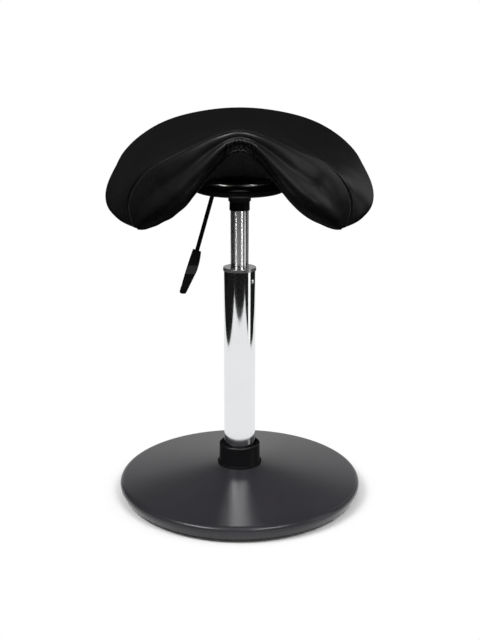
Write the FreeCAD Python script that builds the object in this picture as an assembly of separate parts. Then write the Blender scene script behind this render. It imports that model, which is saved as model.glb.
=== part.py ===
"""Saddle stool: weighted round base, gas lift column, release lever and padded saddle seat.

Millimetres, +Z up. The origin is on the floor under the column, and the sitter faces -Y.
Every sub-part is written to parts/NODE.step.
"""

import FreeCAD
import Part
import math
import os

V = FreeCAD.Vector
Z_AXIS = V(0, 0, 1)
Y_AXIS = V(0, 1, 0)

# Hub: bolted steel socket with a moulded collar round it
HUB_FLANGE_RADIUS = 58.0
HUB_FLANGE_THICKNESS = 6.0
HUB_RADIUS = 30.5
HUB_HEIGHT = 67.5
HUB_BOLT_COUNT = 4
HUB_BOLT_CIRCLE = 46.0
HUB_BOLT_PHASE = 45.0
HUB_BOLT_RADIUS = 4.0
HUB_BOLT_HEAD_RADIUS = 7.5
HUB_BOLT_HEAD = 5.3
COLLAR_RADIUS = 32.7
COLLAR_FOOT_RADIUS = 35.5
COLLAR_FOOT_HEIGHT = 2.5
COLLAR_HEIGHT = 34.3
COLLAR_MOUTH_RADIUS = 27.4
COLLAR_LIP = 3.5
COLLAR_CHAMFER = 1.2
COLLAR_BARREL_GAP = 0.4
COLLAR_STEP_SLOPE = 1.0
COLLAR_STEP_OUT = 0.6

# Base: rubber sole, steel plate, iron ballast and moulded cover, all sized from the cover's foot
COVER_WALL = 3.0
COVER_FOOT_RADIUS = 191.4
COVER_FOOT_HEIGHT = 8.0
COVER_FLARE = 7.3
COVER_EDGE_RADIUS = COVER_FOOT_RADIUS + COVER_FLARE
COVER_EDGE_HEIGHT = 26.4
COVER_EDGE_FILLET = 8.1
COVER_TOP_RADIUS = 37.5
COVER_TOP_HEIGHT = 48.5
SOLE_GAP = 1.6
SOLE_THICKNESS = 7.5
SOLE_RADIUS = COVER_FOOT_RADIUS - COVER_WALL - SOLE_GAP
SOLE_RAMP = 74.8
SOLE_FLAT_RADIUS = SOLE_RADIUS - SOLE_RAMP
SOLE_EDGE_HEIGHT = 4.6
SOLE_MID_RISE = 0.3
PLATE_GAP = 1.9
PLATE_THICKNESS = 3.0
PLATE_RADIUS = COVER_FOOT_RADIUS - COVER_WALL - PLATE_GAP
BALLAST_THICKNESS = 12.0
BALLAST_GAP = 4.0
BALLAST_MARGIN = 8.5
BALLAST_INNER_RADIUS = HUB_FLANGE_RADIUS + BALLAST_GAP
BALLAST_RADIUS = PLATE_RADIUS - BALLAST_MARGIN
COVER_SCREW_COUNT = 6
COVER_SCREW_CIRCLE = (BALLAST_INNER_RADIUS + BALLAST_RADIUS) / 2
COVER_SCREW_RADIUS = 2.5
COVER_SCREW_LENGTH = 16.0
COVER_BOSS_RADIUS = 6.0
BOSS_CLEARANCE = 1.5

# Column: polished tube on a taper, guide bush and cap ring
COLUMN_RADIUS = 25.0
COLUMN_WALL = 1.5
COLUMN_LIFT = 2.0
COLUMN_LENGTH = 358.9
TAPER_LENGTH = 60.0
TAPER_STEP = 0.8
DIMPLE_DROP = 17.4
DIMPLE_BALL = 6.0
DIMPLE_DEPTH = 0.9
DIMPLE_ANGLE = -37.0
BUSH_LENGTH = 110.0
BUSH_LAND = 25.0
BUSH_RELIEF = 0.6
CAP_OVERHANG = 0.8
CAP_SKIRT = 2.0
CAP_HEIGHT = 3.2
CAP_FILLET = 0.7

# Thrust bearing under the piston rod
FOOT_DISC_LIFT = 3.5
FOOT_DISC_THICKNESS = 3.0
RACE_THICKNESS = 2.0
RACE_RADIUS = 16.0
BALL_RADIUS = 2.5
BALL_CIRCLE = 11.0
BALL_COUNT = 10
CAGE_THICKNESS = 2.4
CAGE_BORE = 7.5
CAGE_RADIUS = 14.5
RUNNING_GAP = 0.05

# Gas spring: rod and piston stand still, cylinder rides up and down with the seat
ROD_RADIUS = 5.0
ROD_NECK_RADIUS = 4.0
ROD_TOP = 290.0
CLIP_RADIUS = 8.0
CLIP_THICKNESS = 1.4
CLIP_GAP = 0.3
ROD_TAIL = 1.0
BUMP_RADIUS = 11.0
BUMP_HEIGHT = 10.0
PISTON_LENGTH = 14.0
PISTON_GROOVE = 4.0
PISTON_GROOVE_DEPTH = 2.5
PISTON_GAP = 0.08
PISTON_SEAL_GAP = 0.03
CYLINDER_RADIUS = 14.0
CYLINDER_WALL = 1.5
CYLINDER_BOTTOM = 105.0
CYLINDER_LENGTH = 390.0
CRIMP_THICKNESS = 2.0
CRIMP_GAP = 1.5
SEAL_LENGTH = 5.0
GUIDE_LENGTH = 18.0
PRESSURE_TUBE_RADIUS = 11.0
PRESSURE_TUBE_WALL = 1.0
HEAD_SOLID = 40.0
VALVE_LENGTH = 15.0
VALVE_FLOOR = 2.0
PIN_RADIUS = 4.0
PIN_LENGTH = 54.5
PIN_PROUD = 6.0
PIN_ROUND = 2.5
SOCKET_LENGTH = 32.0
SOCKET_STEP = 0.9
SOCKET_WALL = 1.6

# Mechanism under the seat, placed from the top of the gas cylinder
NECK_RADIUS = 17.4
NECK_DROP = 18.0
NECK_FILLET = 1.0
DISH_WALL = 2.5
DISH_FLAT_RADIUS = 42.0
DISH_RADIUS = 71.0
DISH_BILGE_RISE = 9.0
DISH_MOUTH_RADIUS = 65.5
DISH_HEIGHT = 21.5
DISH_FLOOR_SWEEP = (0.66, 0.33)
DISH_BROW_SWEEP = (0.72, 0.58)
DISH_WALL_LIFT = 0.4
LID_BORE_RADIUS = 50.0
LID_WALL = 2.0
DISH_SPACER = 2.5
HOUSING_LENGTH = 68.0
HOUSING_WIDTH = 40.0
HOUSING_WALL = 2.5
MOUNT_GAP = 1.3
MOUNT_THICKNESS = 3.0
MOUNT_LENGTH = 76.0
MOUNT_WIDTH = 76.0
MOUNT_CORNER = 10.0
DISH_SCREW_X = 26.0
DISH_SCREW_Y = 12.0
DISH_SCREW_RADIUS = 2.0
DISH_SCREW_HEAD_RADIUS = 3.8
DISH_SCREW_HEAD = 1.6
SEAT_SCREW_X = 28.0
SEAT_SCREW_Y = 30.0
SEAT_SCREW_RADIUS = 3.0
SEAT_SCREW_HEAD_RADIUS = 5.8
SEAT_SCREW_HEAD = 4.0
SEAT_SCREW_LENGTH = 17.0
NUT_RADIUS = 4.6
NUT_LENGTH = 8.0

# Lever: bent rod on a cross pin, with a moulded paddle
PIVOT_X = -22.0
PIVOT_RADIUS = 2.5
PIVOT_HEAD_RADIUS = 4.0
PIVOT_HEAD = 1.5
LEVER_RADIUS = 3.25
LEVER_SLEEVE_RADIUS = 5.4
LEVER_NOSE = 6.0
LEVER_LEAN = 16.0
LEVER_EXIT_X = -40.9
LEVER_BEND = 9.0
LEVER_LENGTH = 139.0
LEVER_TRAVEL = 9.0
SLOT_GAP = 1.0
SLOT_END = 4.0
GRIP_SOCKET = 30.0
GRIP_HALF_TOP = 6.6
GRIP_HALF_WIDTH = 11.5
GRIP_WAIST = 22.0
GRIP_FLARE = 12.0
GRIP_SIDE = [(-6.2, 2.2), (-18.6, -34.0), (-26.0, -59.0), (-24.6, -67.0), (-18.0, -66.4), (-8.2, -46.5),
             (0.4, -29.2), (4.2, -16.0), (6.2, -2.2)]

# Saddle seat: heights are above the mount plate; each rail runs from the middle to the right wing's tip
FRONT_EDGE = [
    (0, -160, 53), (36, -142, 25), (76, -110, -27), (104, -80, -52), (125, -55, -65), (140, -33, -73),
    (148, -19, -76), (155, -9, -78),
]
FRONT_SEAM = [
    (0, -150, 78), (52, -136, 63), (98, -105, 42), (129, -75, 23), (152, -48, -2), (167, -25, -33),
    (168, -17, -53), (161, -9, -74),
]
CROWN = [
    (0, -25, 69), (62, -20, 60), (114, -10, 43), (155, 0, 19), (187, 10, -6), (207, 20, -34),
    (204, 17, -50), (190, 12, -65),
]
BACK_RIM = [
    (0, 140, 95), (88, 135, 85), (140, 122, 66), (172, 102, 43), (193, 82, 18), (204, 62, -13),
    (201, 52, -35), (190, 38, -56),
]
BACK_EDGE = [
    (0, 165, 58), (92, 158, 46), (146, 140, 29), (178, 114, 9), (192, 92, -14), (192, 70, -40),
    (188, 60, -55), (181, 46, -65),
]
UNDERSIDE = [
    (0, 0, 12.5), (58, 0, 10), (100, 5, -5), (128, 10, -32), (150, 15, -52), (163, 20, -65),
    (165, 19, -71), (167, 18, -74),
]
FRONT_BULGE = [12, 15, 18, 18, 16, 11, 7, 2]
BACK_BULGE = [14, 13, 12, 12, 10, 8, 6, 3]
SHELL_THICKNESS = 9.0
SHELL_EDGE = 2.5
SHELL_INSET = 0.08
LINER_THICKNESS = 1.5
LINER_INSET = 0.01
CORE_OVERLAP = 2.0
SPACER_HEIGHT = 21.0

# Heights worked out from the sizes above
PLATE_TOP = SOLE_THICKNESS + PLATE_THICKNESS
HUB_TOP = PLATE_TOP + HUB_HEIGHT
COLUMN_BOTTOM = PLATE_TOP + COLUMN_LIFT
COLUMN_TOP = COLUMN_BOTTOM + COLUMN_LENGTH
COLUMN_BORE = COLUMN_RADIUS - COLUMN_WALL
FOOT_LOW = COLUMN_BOTTOM + FOOT_DISC_LIFT
FOOT_TOP = FOOT_LOW + FOOT_DISC_THICKNESS
BALL_LOW = FOOT_TOP + RACE_THICKNESS
BALL_TOP = BALL_LOW + 2 * BALL_RADIUS
ROD_SHOULDER = BALL_TOP + RACE_THICKNESS
HEAD = CYLINDER_BOTTOM + CYLINDER_LENGTH
CYLINDER_BORE = CYLINDER_RADIUS - CYLINDER_WALL
HOLLOW_TOP = HEAD - HEAD_SOLID
PRESSURE_BORE = PRESSURE_TUBE_RADIUS - PRESSURE_TUBE_WALL
SEAL_LOW = CYLINDER_BOTTOM + CRIMP_THICKNESS
GUIDE_LOW = SEAL_LOW + SEAL_LENGTH
GUIDE_TOP = GUIDE_LOW + GUIDE_LENGTH
VALVE_LOW = HOLLOW_TOP - VALVE_LENGTH
SOCKET_LOW = HEAD - SOCKET_LENGTH
PIN_TOP = HEAD + PIN_PROUD
HOUSING_LOW = HEAD - HOUSING_WALL
DISH_LOW = HOUSING_LOW - DISH_SPACER - DISH_WALL
PIVOT_Z = PIN_TOP + LEVER_RADIUS + RUNNING_GAP
MOUNT_LOW = PIVOT_Z + LEVER_SLEEVE_RADIUS + MOUNT_GAP
MOUNT_TOP = MOUNT_LOW + MOUNT_THICKNESS


def revolve(outline):
    """Solid swept round the Z axis by a closed outline of (radius, height) points."""
    points = [V(r, 0, z) for r, z in outline]
    face = Part.Face(Part.makePolygon(points + points[:1]))
    return face.revolve(V(0, 0, 0), Z_AXIS, 360)


def disc(radius, low, high):
    """Upright round bar on the Z axis."""
    return Part.makeCylinder(radius, high - low, V(0, 0, low))


def ring(bore, radius, low, high):
    """Upright round bar with a bore."""
    return disc(radius, low, high).cut(disc(bore, low, high))


def box(half_x, half_y, low, high):
    """Upright box centred on the Z axis."""
    return Part.makeBox(2 * half_x, 2 * half_y, high - low, V(-half_x, -half_y, low))


def moved(shape, x, y, z=0.0):
    """Copy of a shape, shifted."""
    copy = shape.copy()
    copy.translate(V(x, y, z))
    return copy


def around(shape, count, radius, phase=0.0):
    """Copies of a shape spaced evenly on a circle about the Z axis."""
    angles = [math.radians(phase + 360.0 * k / count) for k in range(count)]
    return [moved(shape, radius * math.cos(a), radius * math.sin(a)) for a in angles]


def at_corners(shape, half_x, half_y):
    """Four copies of a shape at the corners of a rectangle."""
    return [moved(shape, x, y) for x in (-half_x, half_x) for y in (-half_y, half_y)]


def cut_all(shape, tools):
    """Shape with every tool cut out of it."""
    for tool in tools:
        shape = shape.cut(tool)
    return shape


def fillet_circles(shape, radius, circle_radius, height):
    """Round the full circular edges of the given radius at the given height."""
    edges = []
    for edge in shape.Edges:
        curve = edge.Curve
        if isinstance(curve, Part.Circle) and abs(curve.Radius - circle_radius) < 1e-3:
            if abs(curve.Center.z - height) < 1e-3:
                edges.append(edge)
    return shape.makeFillet(radius, edges)


def hexagon(corner_radius, low, high):
    """Hexagonal bolt head on the Z axis."""
    points = [V(corner_radius * math.cos(a), corner_radius * math.sin(a), low)
              for a in (math.radians(60 * k) for k in range(7))]
    return Part.Face(Part.makePolygon(points)).extrude(V(0, 0, high - low))


def rocker_sole():
    """Rubber sole: flat in the middle, rising towards its edge so that the base can rock."""
    edge = V(SOLE_RADIUS, 0, SOLE_EDGE_HEIGHT)
    flat = V(SOLE_FLAT_RADIUS, 0, 0)
    middle = V((SOLE_FLAT_RADIUS + SOLE_RADIUS) / 2, 0, SOLE_EDGE_HEIGHT * SOLE_MID_RISE)
    corners = [edge, V(SOLE_RADIUS, 0, SOLE_THICKNESS), V(0, 0, SOLE_THICKNESS), V(0, 0, 0), flat]
    edges = [Part.Arc(flat, middle, edge).toShape()]
    edges += [Part.LineSegment(a, b).toShape() for a, b in zip(corners, corners[1:])]
    return Part.Face(Part.Wire(edges)).revolve(V(0, 0, 0), Z_AXIS, 360)


def cover_screw():
    """Countersunk screw, flush with the underside of the base plate."""
    radius = COVER_SCREW_RADIUS
    head = Part.makeCone(2 * radius, radius, radius, V(0, 0, SOLE_THICKNESS))
    shank = disc(COVER_SCREW_RADIUS, SOLE_THICKNESS, SOLE_THICKNESS + COVER_SCREW_LENGTH)
    return head.fuse(shank)


def cover_screws():
    """The cover's screws on their circle."""
    return around(cover_screw(), COVER_SCREW_COUNT, COVER_SCREW_CIRCLE)


def hub_bolt():
    """Hexagon bolt through the hub flange into the base plate."""
    seat = PLATE_TOP + HUB_FLANGE_THICKNESS
    shank = disc(HUB_BOLT_RADIUS, SOLE_THICKNESS, seat)
    return shank.fuse(hexagon(HUB_BOLT_HEAD_RADIUS, seat, seat + HUB_BOLT_HEAD))


def hub_bolts():
    """The hub's bolts on their circle."""
    return around(hub_bolt(), HUB_BOLT_COUNT, HUB_BOLT_CIRCLE, HUB_BOLT_PHASE)


def base_plate():
    """Round steel plate that carries the hub, the ballast and the cover."""
    return cut_all(disc(PLATE_RADIUS, SOLE_THICKNESS, PLATE_TOP), cover_screws() + hub_bolts())


def ballast_disc():
    """Cast iron ring on the plate, with holes for the cover's bosses."""
    low, high = PLATE_TOP, PLATE_TOP + BALLAST_THICKNESS
    body = ring(BALLAST_INNER_RADIUS, BALLAST_RADIUS, low, high)
    hole = disc(COVER_BOSS_RADIUS + BOSS_CLEARANCE, low, high)
    return cut_all(body, around(hole, COVER_SCREW_COUNT, COVER_SCREW_CIRCLE))


def cover_blank(inset):
    """Low cone with a rounded rim, drawn in by inset on every side."""
    slope = math.atan2(COVER_TOP_HEIGHT - COVER_EDGE_HEIGHT, COVER_EDGE_RADIUS - COVER_TOP_RADIUS)
    drop = inset / math.cos(slope)
    edge = COVER_EDGE_RADIUS - inset
    edge_height = COVER_EDGE_HEIGHT - drop + inset * math.tan(slope)
    top = COVER_TOP_HEIGHT - drop
    foot = COVER_FOOT_RADIUS - inset
    blank = revolve([(0, COVER_FOOT_HEIGHT), (foot, COVER_FOOT_HEIGHT), (edge, edge_height),
                     (COVER_TOP_RADIUS, top), (0, top)])
    return fillet_circles(blank, COVER_EDGE_FILLET - inset, edge, edge_height)


def base_cover():
    """Moulded cover with six screw bosses inside."""
    opening = HUB_RADIUS + BOSS_CLEARANCE
    shell = cover_blank(0).cut(cover_blank(COVER_WALL))
    boss = disc(COVER_BOSS_RADIUS, PLATE_TOP, COVER_TOP_HEIGHT)
    bosses = [b.common(cover_blank(COVER_WALL / 2))
              for b in around(boss, COVER_SCREW_COUNT, COVER_SCREW_CIRCLE)]
    cover = shell.fuse(bosses).cut(disc(opening, COVER_FOOT_HEIGHT, COVER_TOP_HEIGHT + COVER_WALL))
    return cut_all(cover, cover_screws()).removeSplitter()


def column_outline(top):
    """Outer radius of the column against height, with its tapered foot."""
    return [(COLUMN_RADIUS - TAPER_STEP, COLUMN_BOTTOM), (COLUMN_RADIUS, COLUMN_BOTTOM + TAPER_LENGTH),
            (COLUMN_RADIUS, top)]


def column_blank(inset, top):
    """Solid column with its tapered foot, drawn in by inset."""
    side = [(r - inset, z) for r, z in column_outline(top)]
    return revolve([(0, COLUMN_BOTTOM)] + side + [(0, top)])


def hub_socket():
    """Flanged steel socket whose taper holds the column's foot."""
    flange = disc(HUB_FLANGE_RADIUS, PLATE_TOP, PLATE_TOP + HUB_FLANGE_THICKNESS)
    barrel = disc(HUB_RADIUS, PLATE_TOP, HUB_TOP)
    well = disc(COLUMN_RADIUS - TAPER_STEP, PLATE_TOP, COLUMN_BOTTOM)
    tools = [well, column_blank(0, HUB_TOP + COLUMN_WALL)] + hub_bolts()
    return cut_all(flange.fuse(barrel), tools).removeSplitter()


def hub_collar():
    """Moulded collar round the socket, stepped out at its foot and chamfered at its mouth."""
    low, top = COVER_TOP_HEIGHT, COVER_TOP_HEIGHT + COLLAR_HEIGHT
    step = low + COLLAR_FOOT_HEIGHT
    outline = [
        (HUB_RADIUS + BOSS_CLEARANCE, low), (COLLAR_FOOT_RADIUS, low), (COLLAR_FOOT_RADIUS, step),
        (COLLAR_RADIUS + COLLAR_STEP_OUT, step + COLLAR_STEP_SLOPE), (COLLAR_RADIUS, top - COLLAR_CHAMFER),
        (COLLAR_RADIUS - COLLAR_CHAMFER, top), (COLLAR_MOUTH_RADIUS + COLLAR_CHAMFER, top),
        (COLLAR_MOUTH_RADIUS, top - COLLAR_CHAMFER), (COLLAR_MOUTH_RADIUS, top - COLLAR_LIP),
        (HUB_RADIUS + COLLAR_BARREL_GAP, top - COLLAR_LIP - COLLAR_STEP_OUT),
    ]
    return revolve(outline)


def column_tube():
    """Polished tube with a tapered foot and two small round dimples near its top."""
    tube = column_blank(0, COLUMN_TOP).cut(column_blank(COLUMN_WALL, COLUMN_TOP))
    reach = COLUMN_RADIUS + DIMPLE_BALL - DIMPLE_DEPTH
    ball = Part.makeSphere(DIMPLE_BALL, V(0, 0, COLUMN_TOP - DIMPLE_DROP))
    return cut_all(tube, around(ball, 2, reach, DIMPLE_ANGLE))


def column_foot():
    """Disc across the column's foot that the thrust bearing rests on."""
    slab = disc(COLUMN_RADIUS, FOOT_LOW, FOOT_TOP)
    return slab.common(column_blank(COLUMN_WALL, COLUMN_TOP)).cut(
        disc(ROD_NECK_RADIUS + RUNNING_GAP, FOOT_LOW, FOOT_TOP))


def guide_bush():
    """Plastic bush that guides the gas cylinder on a land at each end."""
    low = COLUMN_TOP - BUSH_LENGTH
    body = ring(CYLINDER_RADIUS + RUNNING_GAP, COLUMN_BORE, low, COLUMN_TOP)
    return body.cut(disc(CYLINDER_RADIUS + BUSH_RELIEF, low + BUSH_LAND, COLUMN_TOP - BUSH_LAND))


def column_cap():
    """Light ring capping the column, with a short skirt outside the tube."""
    rim = COLUMN_RADIUS + CAP_OVERHANG
    top = COLUMN_TOP + CAP_HEIGHT
    cap = ring(CYLINDER_RADIUS + BUSH_RELIEF, rim, COLUMN_TOP, top)
    cap = cap.fuse(ring(COLUMN_RADIUS, rim, COLUMN_TOP - CAP_SKIRT, COLUMN_TOP)).removeSplitter()
    return fillet_circles(cap, CAP_FILLET, rim, top)


def lower_race():
    """Bearing washer on the column's foot disc."""
    return ring(ROD_NECK_RADIUS + RUNNING_GAP, RACE_RADIUS, FOOT_TOP, BALL_LOW)


def upper_race():
    """Bearing washer that carries the piston rod's shoulder."""
    return ring(ROD_NECK_RADIUS, RACE_RADIUS, BALL_TOP, ROD_SHOULDER)


def bearing_balls():
    """Ring of bearing balls, a running gap clear of both washers."""
    ball = Part.makeSphere(BALL_RADIUS - RUNNING_GAP, V(0, 0, BALL_LOW + BALL_RADIUS))
    return Part.makeCompound(around(ball, BALL_COUNT, BALL_CIRCLE))


def bearing_cage():
    """Flat ring that spaces the balls."""
    middle = BALL_LOW + BALL_RADIUS
    low, high = middle - CAGE_THICKNESS / 2, middle + CAGE_THICKNESS / 2
    pocket = disc(BALL_RADIUS, low, high)
    return cut_all(ring(CAGE_BORE, CAGE_RADIUS, low, high), around(pocket, BALL_COUNT, BALL_CIRCLE))


def piston_rod():
    """Steel rod with a thin neck through the thrust bearing."""
    low = FOOT_LOW - CLIP_GAP - CLIP_THICKNESS - ROD_TAIL
    neck = disc(ROD_NECK_RADIUS, low, ROD_SHOULDER)
    return neck.fuse(disc(ROD_RADIUS, ROD_SHOULDER, ROD_TOP)).removeSplitter()


def retaining_clip():
    """Ring on the rod's neck, under the column's foot disc."""
    high = FOOT_LOW - CLIP_GAP
    return ring(ROD_NECK_RADIUS, CLIP_RADIUS, high - CLIP_THICKNESS, high)


def bump_stop():
    """Rubber buffer that the cylinder meets at its lowest."""
    return ring(ROD_RADIUS, BUMP_RADIUS, ROD_SHOULDER, ROD_SHOULDER + BUMP_HEIGHT)


def piston_groove():
    """Range of heights of the piston's seal groove."""
    middle = ROD_TOP - PISTON_LENGTH / 2
    return middle - PISTON_GROOVE / 2, middle + PISTON_GROOVE / 2


def piston():
    """Piston on the rod's top end, grooved for its seal."""
    radius = PRESSURE_BORE - PISTON_GAP
    body = ring(ROD_RADIUS, radius, ROD_TOP - PISTON_LENGTH, ROD_TOP)
    low, high = piston_groove()
    return body.cut(ring(radius - PISTON_GROOVE_DEPTH, radius, low, high))


def piston_seal():
    """Seal ring in the piston's groove."""
    bore = PRESSURE_BORE - PISTON_GAP - PISTON_GROOVE_DEPTH
    low, high = piston_groove()
    return ring(bore, PRESSURE_BORE - PISTON_SEAL_GAP, low, high)


def cylinder_blank(top):
    """Solid gas cylinder, tapered over the length held by the seat's socket."""
    return revolve([(0, CYLINDER_BOTTOM), (CYLINDER_RADIUS, CYLINDER_BOTTOM), (CYLINDER_RADIUS, SOCKET_LOW),
                    (CYLINDER_RADIUS - SOCKET_STEP, top), (0, top)])


def gas_cylinder():
    """Cylinder with a crimped lower end and a bore for the release pin."""
    hollow = disc(CYLINDER_BORE, SEAL_LOW, HOLLOW_TOP)
    mouth = disc(ROD_RADIUS + CRIMP_GAP, CYLINDER_BOTTOM, SEAL_LOW)
    pin_bore = disc(PIN_RADIUS + RUNNING_GAP, HOLLOW_TOP, HEAD)
    return cut_all(cylinder_blank(HEAD), [hollow, mouth, pin_bore])


def pressure_tube():
    """Inner tube that the piston runs in."""
    return ring(PRESSURE_BORE, PRESSURE_TUBE_RADIUS, GUIDE_TOP, VALVE_LOW)


def rod_seal():
    """Seal between rod and cylinder."""
    return ring(ROD_RADIUS + RUNNING_GAP, CYLINDER_BORE, SEAL_LOW, GUIDE_LOW)


def rod_guide():
    """Bush that guides the rod at the cylinder's lower end."""
    return ring(ROD_RADIUS + RUNNING_GAP, CYLINDER_BORE, GUIDE_LOW, GUIDE_TOP)


def valve_body():
    """Valve block at the top of the pressure tube, bored for the release pin."""
    block = disc(CYLINDER_BORE, VALVE_LOW, HOLLOW_TOP)
    return block.cut(disc(PIN_RADIUS + RUNNING_GAP, VALVE_LOW + VALVE_FLOOR, HOLLOW_TOP))


def release_pin():
    """Pin that opens the valve when the lever presses its rounded top."""
    return fillet_circles(disc(PIN_RADIUS, PIN_TOP - PIN_LENGTH, PIN_TOP), PIN_ROUND, PIN_RADIUS, PIN_TOP)


def cone_socket():
    """Steel sleeve with a taper bore that seats the cylinder's top."""
    sleeve = disc(CYLINDER_RADIUS + SOCKET_WALL, SOCKET_LOW, HEAD)
    return sleeve.cut(cylinder_blank(HEAD))


def neck_ring():
    """Moulded ring closing the dish round the socket."""
    low = HEAD - NECK_DROP
    body = ring(CYLINDER_RADIUS + SOCKET_WALL, NECK_RADIUS, low, DISH_LOW + DISH_WALL)
    return fillet_circles(body, NECK_FILLET, NECK_RADIUS, low)


def dish_side(inset):
    """Outer outline of the dish from its flat bottom over the bilge to its mouth, drawn in by inset."""
    flat = V(DISH_FLAT_RADIUS, 0, DISH_LOW + inset)
    bilge = V(DISH_RADIUS - inset, 0, DISH_LOW + DISH_BILGE_RISE + inset * DISH_WALL_LIFT)
    mouth = V(DISH_MOUTH_RADIUS - inset, 0, DISH_LOW + DISH_HEIGHT)
    out, up = DISH_FLOOR_SWEEP
    low_mid = V(flat.x + out * (bilge.x - flat.x), 0, flat.z + up * (bilge.z - flat.z))
    out, up = DISH_BROW_SWEEP
    high_mid = V(mouth.x + out * (bilge.x - mouth.x), 0, bilge.z + up * (mouth.z - bilge.z))
    return flat, low_mid, bilge, high_mid, mouth


def dish_blank(inset):
    """Solid bowl with the dish's side."""
    flat, low_mid, bilge, high_mid, mouth = dish_side(inset)
    floor, top = V(0, 0, flat.z), V(0, 0, mouth.z)
    curves = [Part.LineSegment(floor, flat), Part.Arc(flat, low_mid, bilge), Part.Arc(bilge, high_mid, mouth),
              Part.LineSegment(mouth, top), Part.LineSegment(top, floor)]
    outline = Part.Wire([curve.toShape() for curve in curves])
    return Part.Face(outline).revolve(V(0, 0, 0), Z_AXIS, 360)


def dish_screw():
    """Pan head screw from the dish into the housing."""
    shank = disc(DISH_SCREW_RADIUS, DISH_LOW, HOUSING_LOW + HOUSING_WALL)
    return shank.fuse(disc(DISH_SCREW_HEAD_RADIUS, DISH_LOW - DISH_SCREW_HEAD, DISH_LOW))


def dish_screws():
    """The dish's screws at their corners."""
    return at_corners(dish_screw(), DISH_SCREW_X, DISH_SCREW_Y)


def lever_slot():
    """Hole through the dish's floor that lets the lever swing."""
    swing = math.radians(LEVER_TRAVEL) * (PIVOT_Z - DISH_LOW)
    half_y = LEVER_RADIUS + SLOT_GAP
    length = 2 * (LEVER_RADIUS + SLOT_GAP) + swing + SLOT_END
    right = LEVER_EXIT_X + LEVER_RADIUS + SLOT_GAP + SLOT_END / 2
    return Part.makeBox(length, 2 * half_y, 3 * DISH_WALL, V(right - length, -half_y, DISH_LOW - DISH_WALL))


def mechanism_cover():
    """Glossy dish that hides the mechanism, with spacers under the housing."""
    dish = dish_blank(0).cut(dish_blank(DISH_WALL))
    spacer = disc(DISH_SCREW_HEAD_RADIUS, DISH_LOW + DISH_WALL, HOUSING_LOW)
    dish = dish.fuse(at_corners(spacer, DISH_SCREW_X, DISH_SCREW_Y))
    tools = dish_screws() + [disc(NECK_RADIUS, DISH_LOW, DISH_LOW + DISH_WALL), lever_slot()]
    return cut_all(dish, tools)


def dish_lid():
    """Thin cone closing the dish from its mouth up to the mount plate."""
    low = DISH_LOW + DISH_HEIGHT
    return revolve([
        (DISH_MOUTH_RADIUS, low), (LID_BORE_RADIUS + LID_WALL, MOUNT_LOW), (LID_BORE_RADIUS, MOUNT_LOW),
        (LID_BORE_RADIUS, MOUNT_LOW - LID_WALL), (DISH_MOUTH_RADIUS - DISH_WALL, low),
    ])


def mechanism_housing():
    """Steel channel, open towards the lever, welded round the socket."""
    half_x, half_y = HOUSING_LENGTH / 2, HOUSING_WIDTH / 2
    outer = box(half_x, half_y, HOUSING_LOW, MOUNT_LOW)
    inner = box(half_x + HOUSING_WALL, half_y - HOUSING_WALL, HOUSING_LOW + HOUSING_WALL, MOUNT_LOW)
    socket_hole = disc(CYLINDER_RADIUS + SOCKET_WALL, HOUSING_LOW, HOUSING_LOW + HOUSING_WALL)
    return cut_all(outer, [inner, socket_hole, pivot_pin()] + dish_screws())


def seat_screw():
    """Hexagon screw up through the mount plate into the seat."""
    shank = disc(SEAT_SCREW_RADIUS, MOUNT_LOW, MOUNT_LOW + SEAT_SCREW_LENGTH)
    return shank.fuse(hexagon(SEAT_SCREW_HEAD_RADIUS, MOUNT_LOW - SEAT_SCREW_HEAD, MOUNT_LOW))


def seat_screws():
    """The seat's four screws at their corners."""
    return at_corners(seat_screw(), SEAT_SCREW_X, SEAT_SCREW_Y)


def insert_nuts():
    """Threaded inserts at the upper ends of the seat screws."""
    top = MOUNT_LOW + SEAT_SCREW_LENGTH
    nut = ring(SEAT_SCREW_RADIUS, NUT_RADIUS, top - NUT_LENGTH, top)
    return at_corners(nut, SEAT_SCREW_X, SEAT_SCREW_Y)


def mount_plate():
    """Steel plate between mechanism and seat."""
    plate = box(MOUNT_WIDTH / 2, MOUNT_LENGTH / 2, MOUNT_LOW, MOUNT_TOP)
    upright = [e for e in plate.Edges if abs(e.tangentAt(e.FirstParameter).z) > 0.9]
    return cut_all(plate.makeFillet(MOUNT_CORNER, upright), seat_screws())


def pivot_pin():
    """Cross pin of the lever, headed at both ends outside the housing."""
    half = HOUSING_WIDTH / 2
    start = V(PIVOT_X, -half, PIVOT_Z)
    pin = Part.makeCylinder(PIVOT_RADIUS, 2 * half, start, Y_AXIS)
    heads = [Part.makeCylinder(PIVOT_HEAD_RADIUS, PIVOT_HEAD, V(PIVOT_X, y, PIVOT_Z), Y_AXIS)
             for y in (-half - PIVOT_HEAD, half)]
    return pin.fuse(heads)


def lever_direction():
    """Unit vector down along the hanging part of the lever."""
    lean = math.radians(LEVER_LEAN)
    return V(-math.sin(lean), 0, -math.cos(lean))


def lever_corner():
    """Point where the lever's level part would meet its hanging part."""
    down = lever_direction()
    reach = (PIVOT_Z - DISH_LOW) / -down.z
    return V(LEVER_EXIT_X, 0, DISH_LOW) - down * reach


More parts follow.
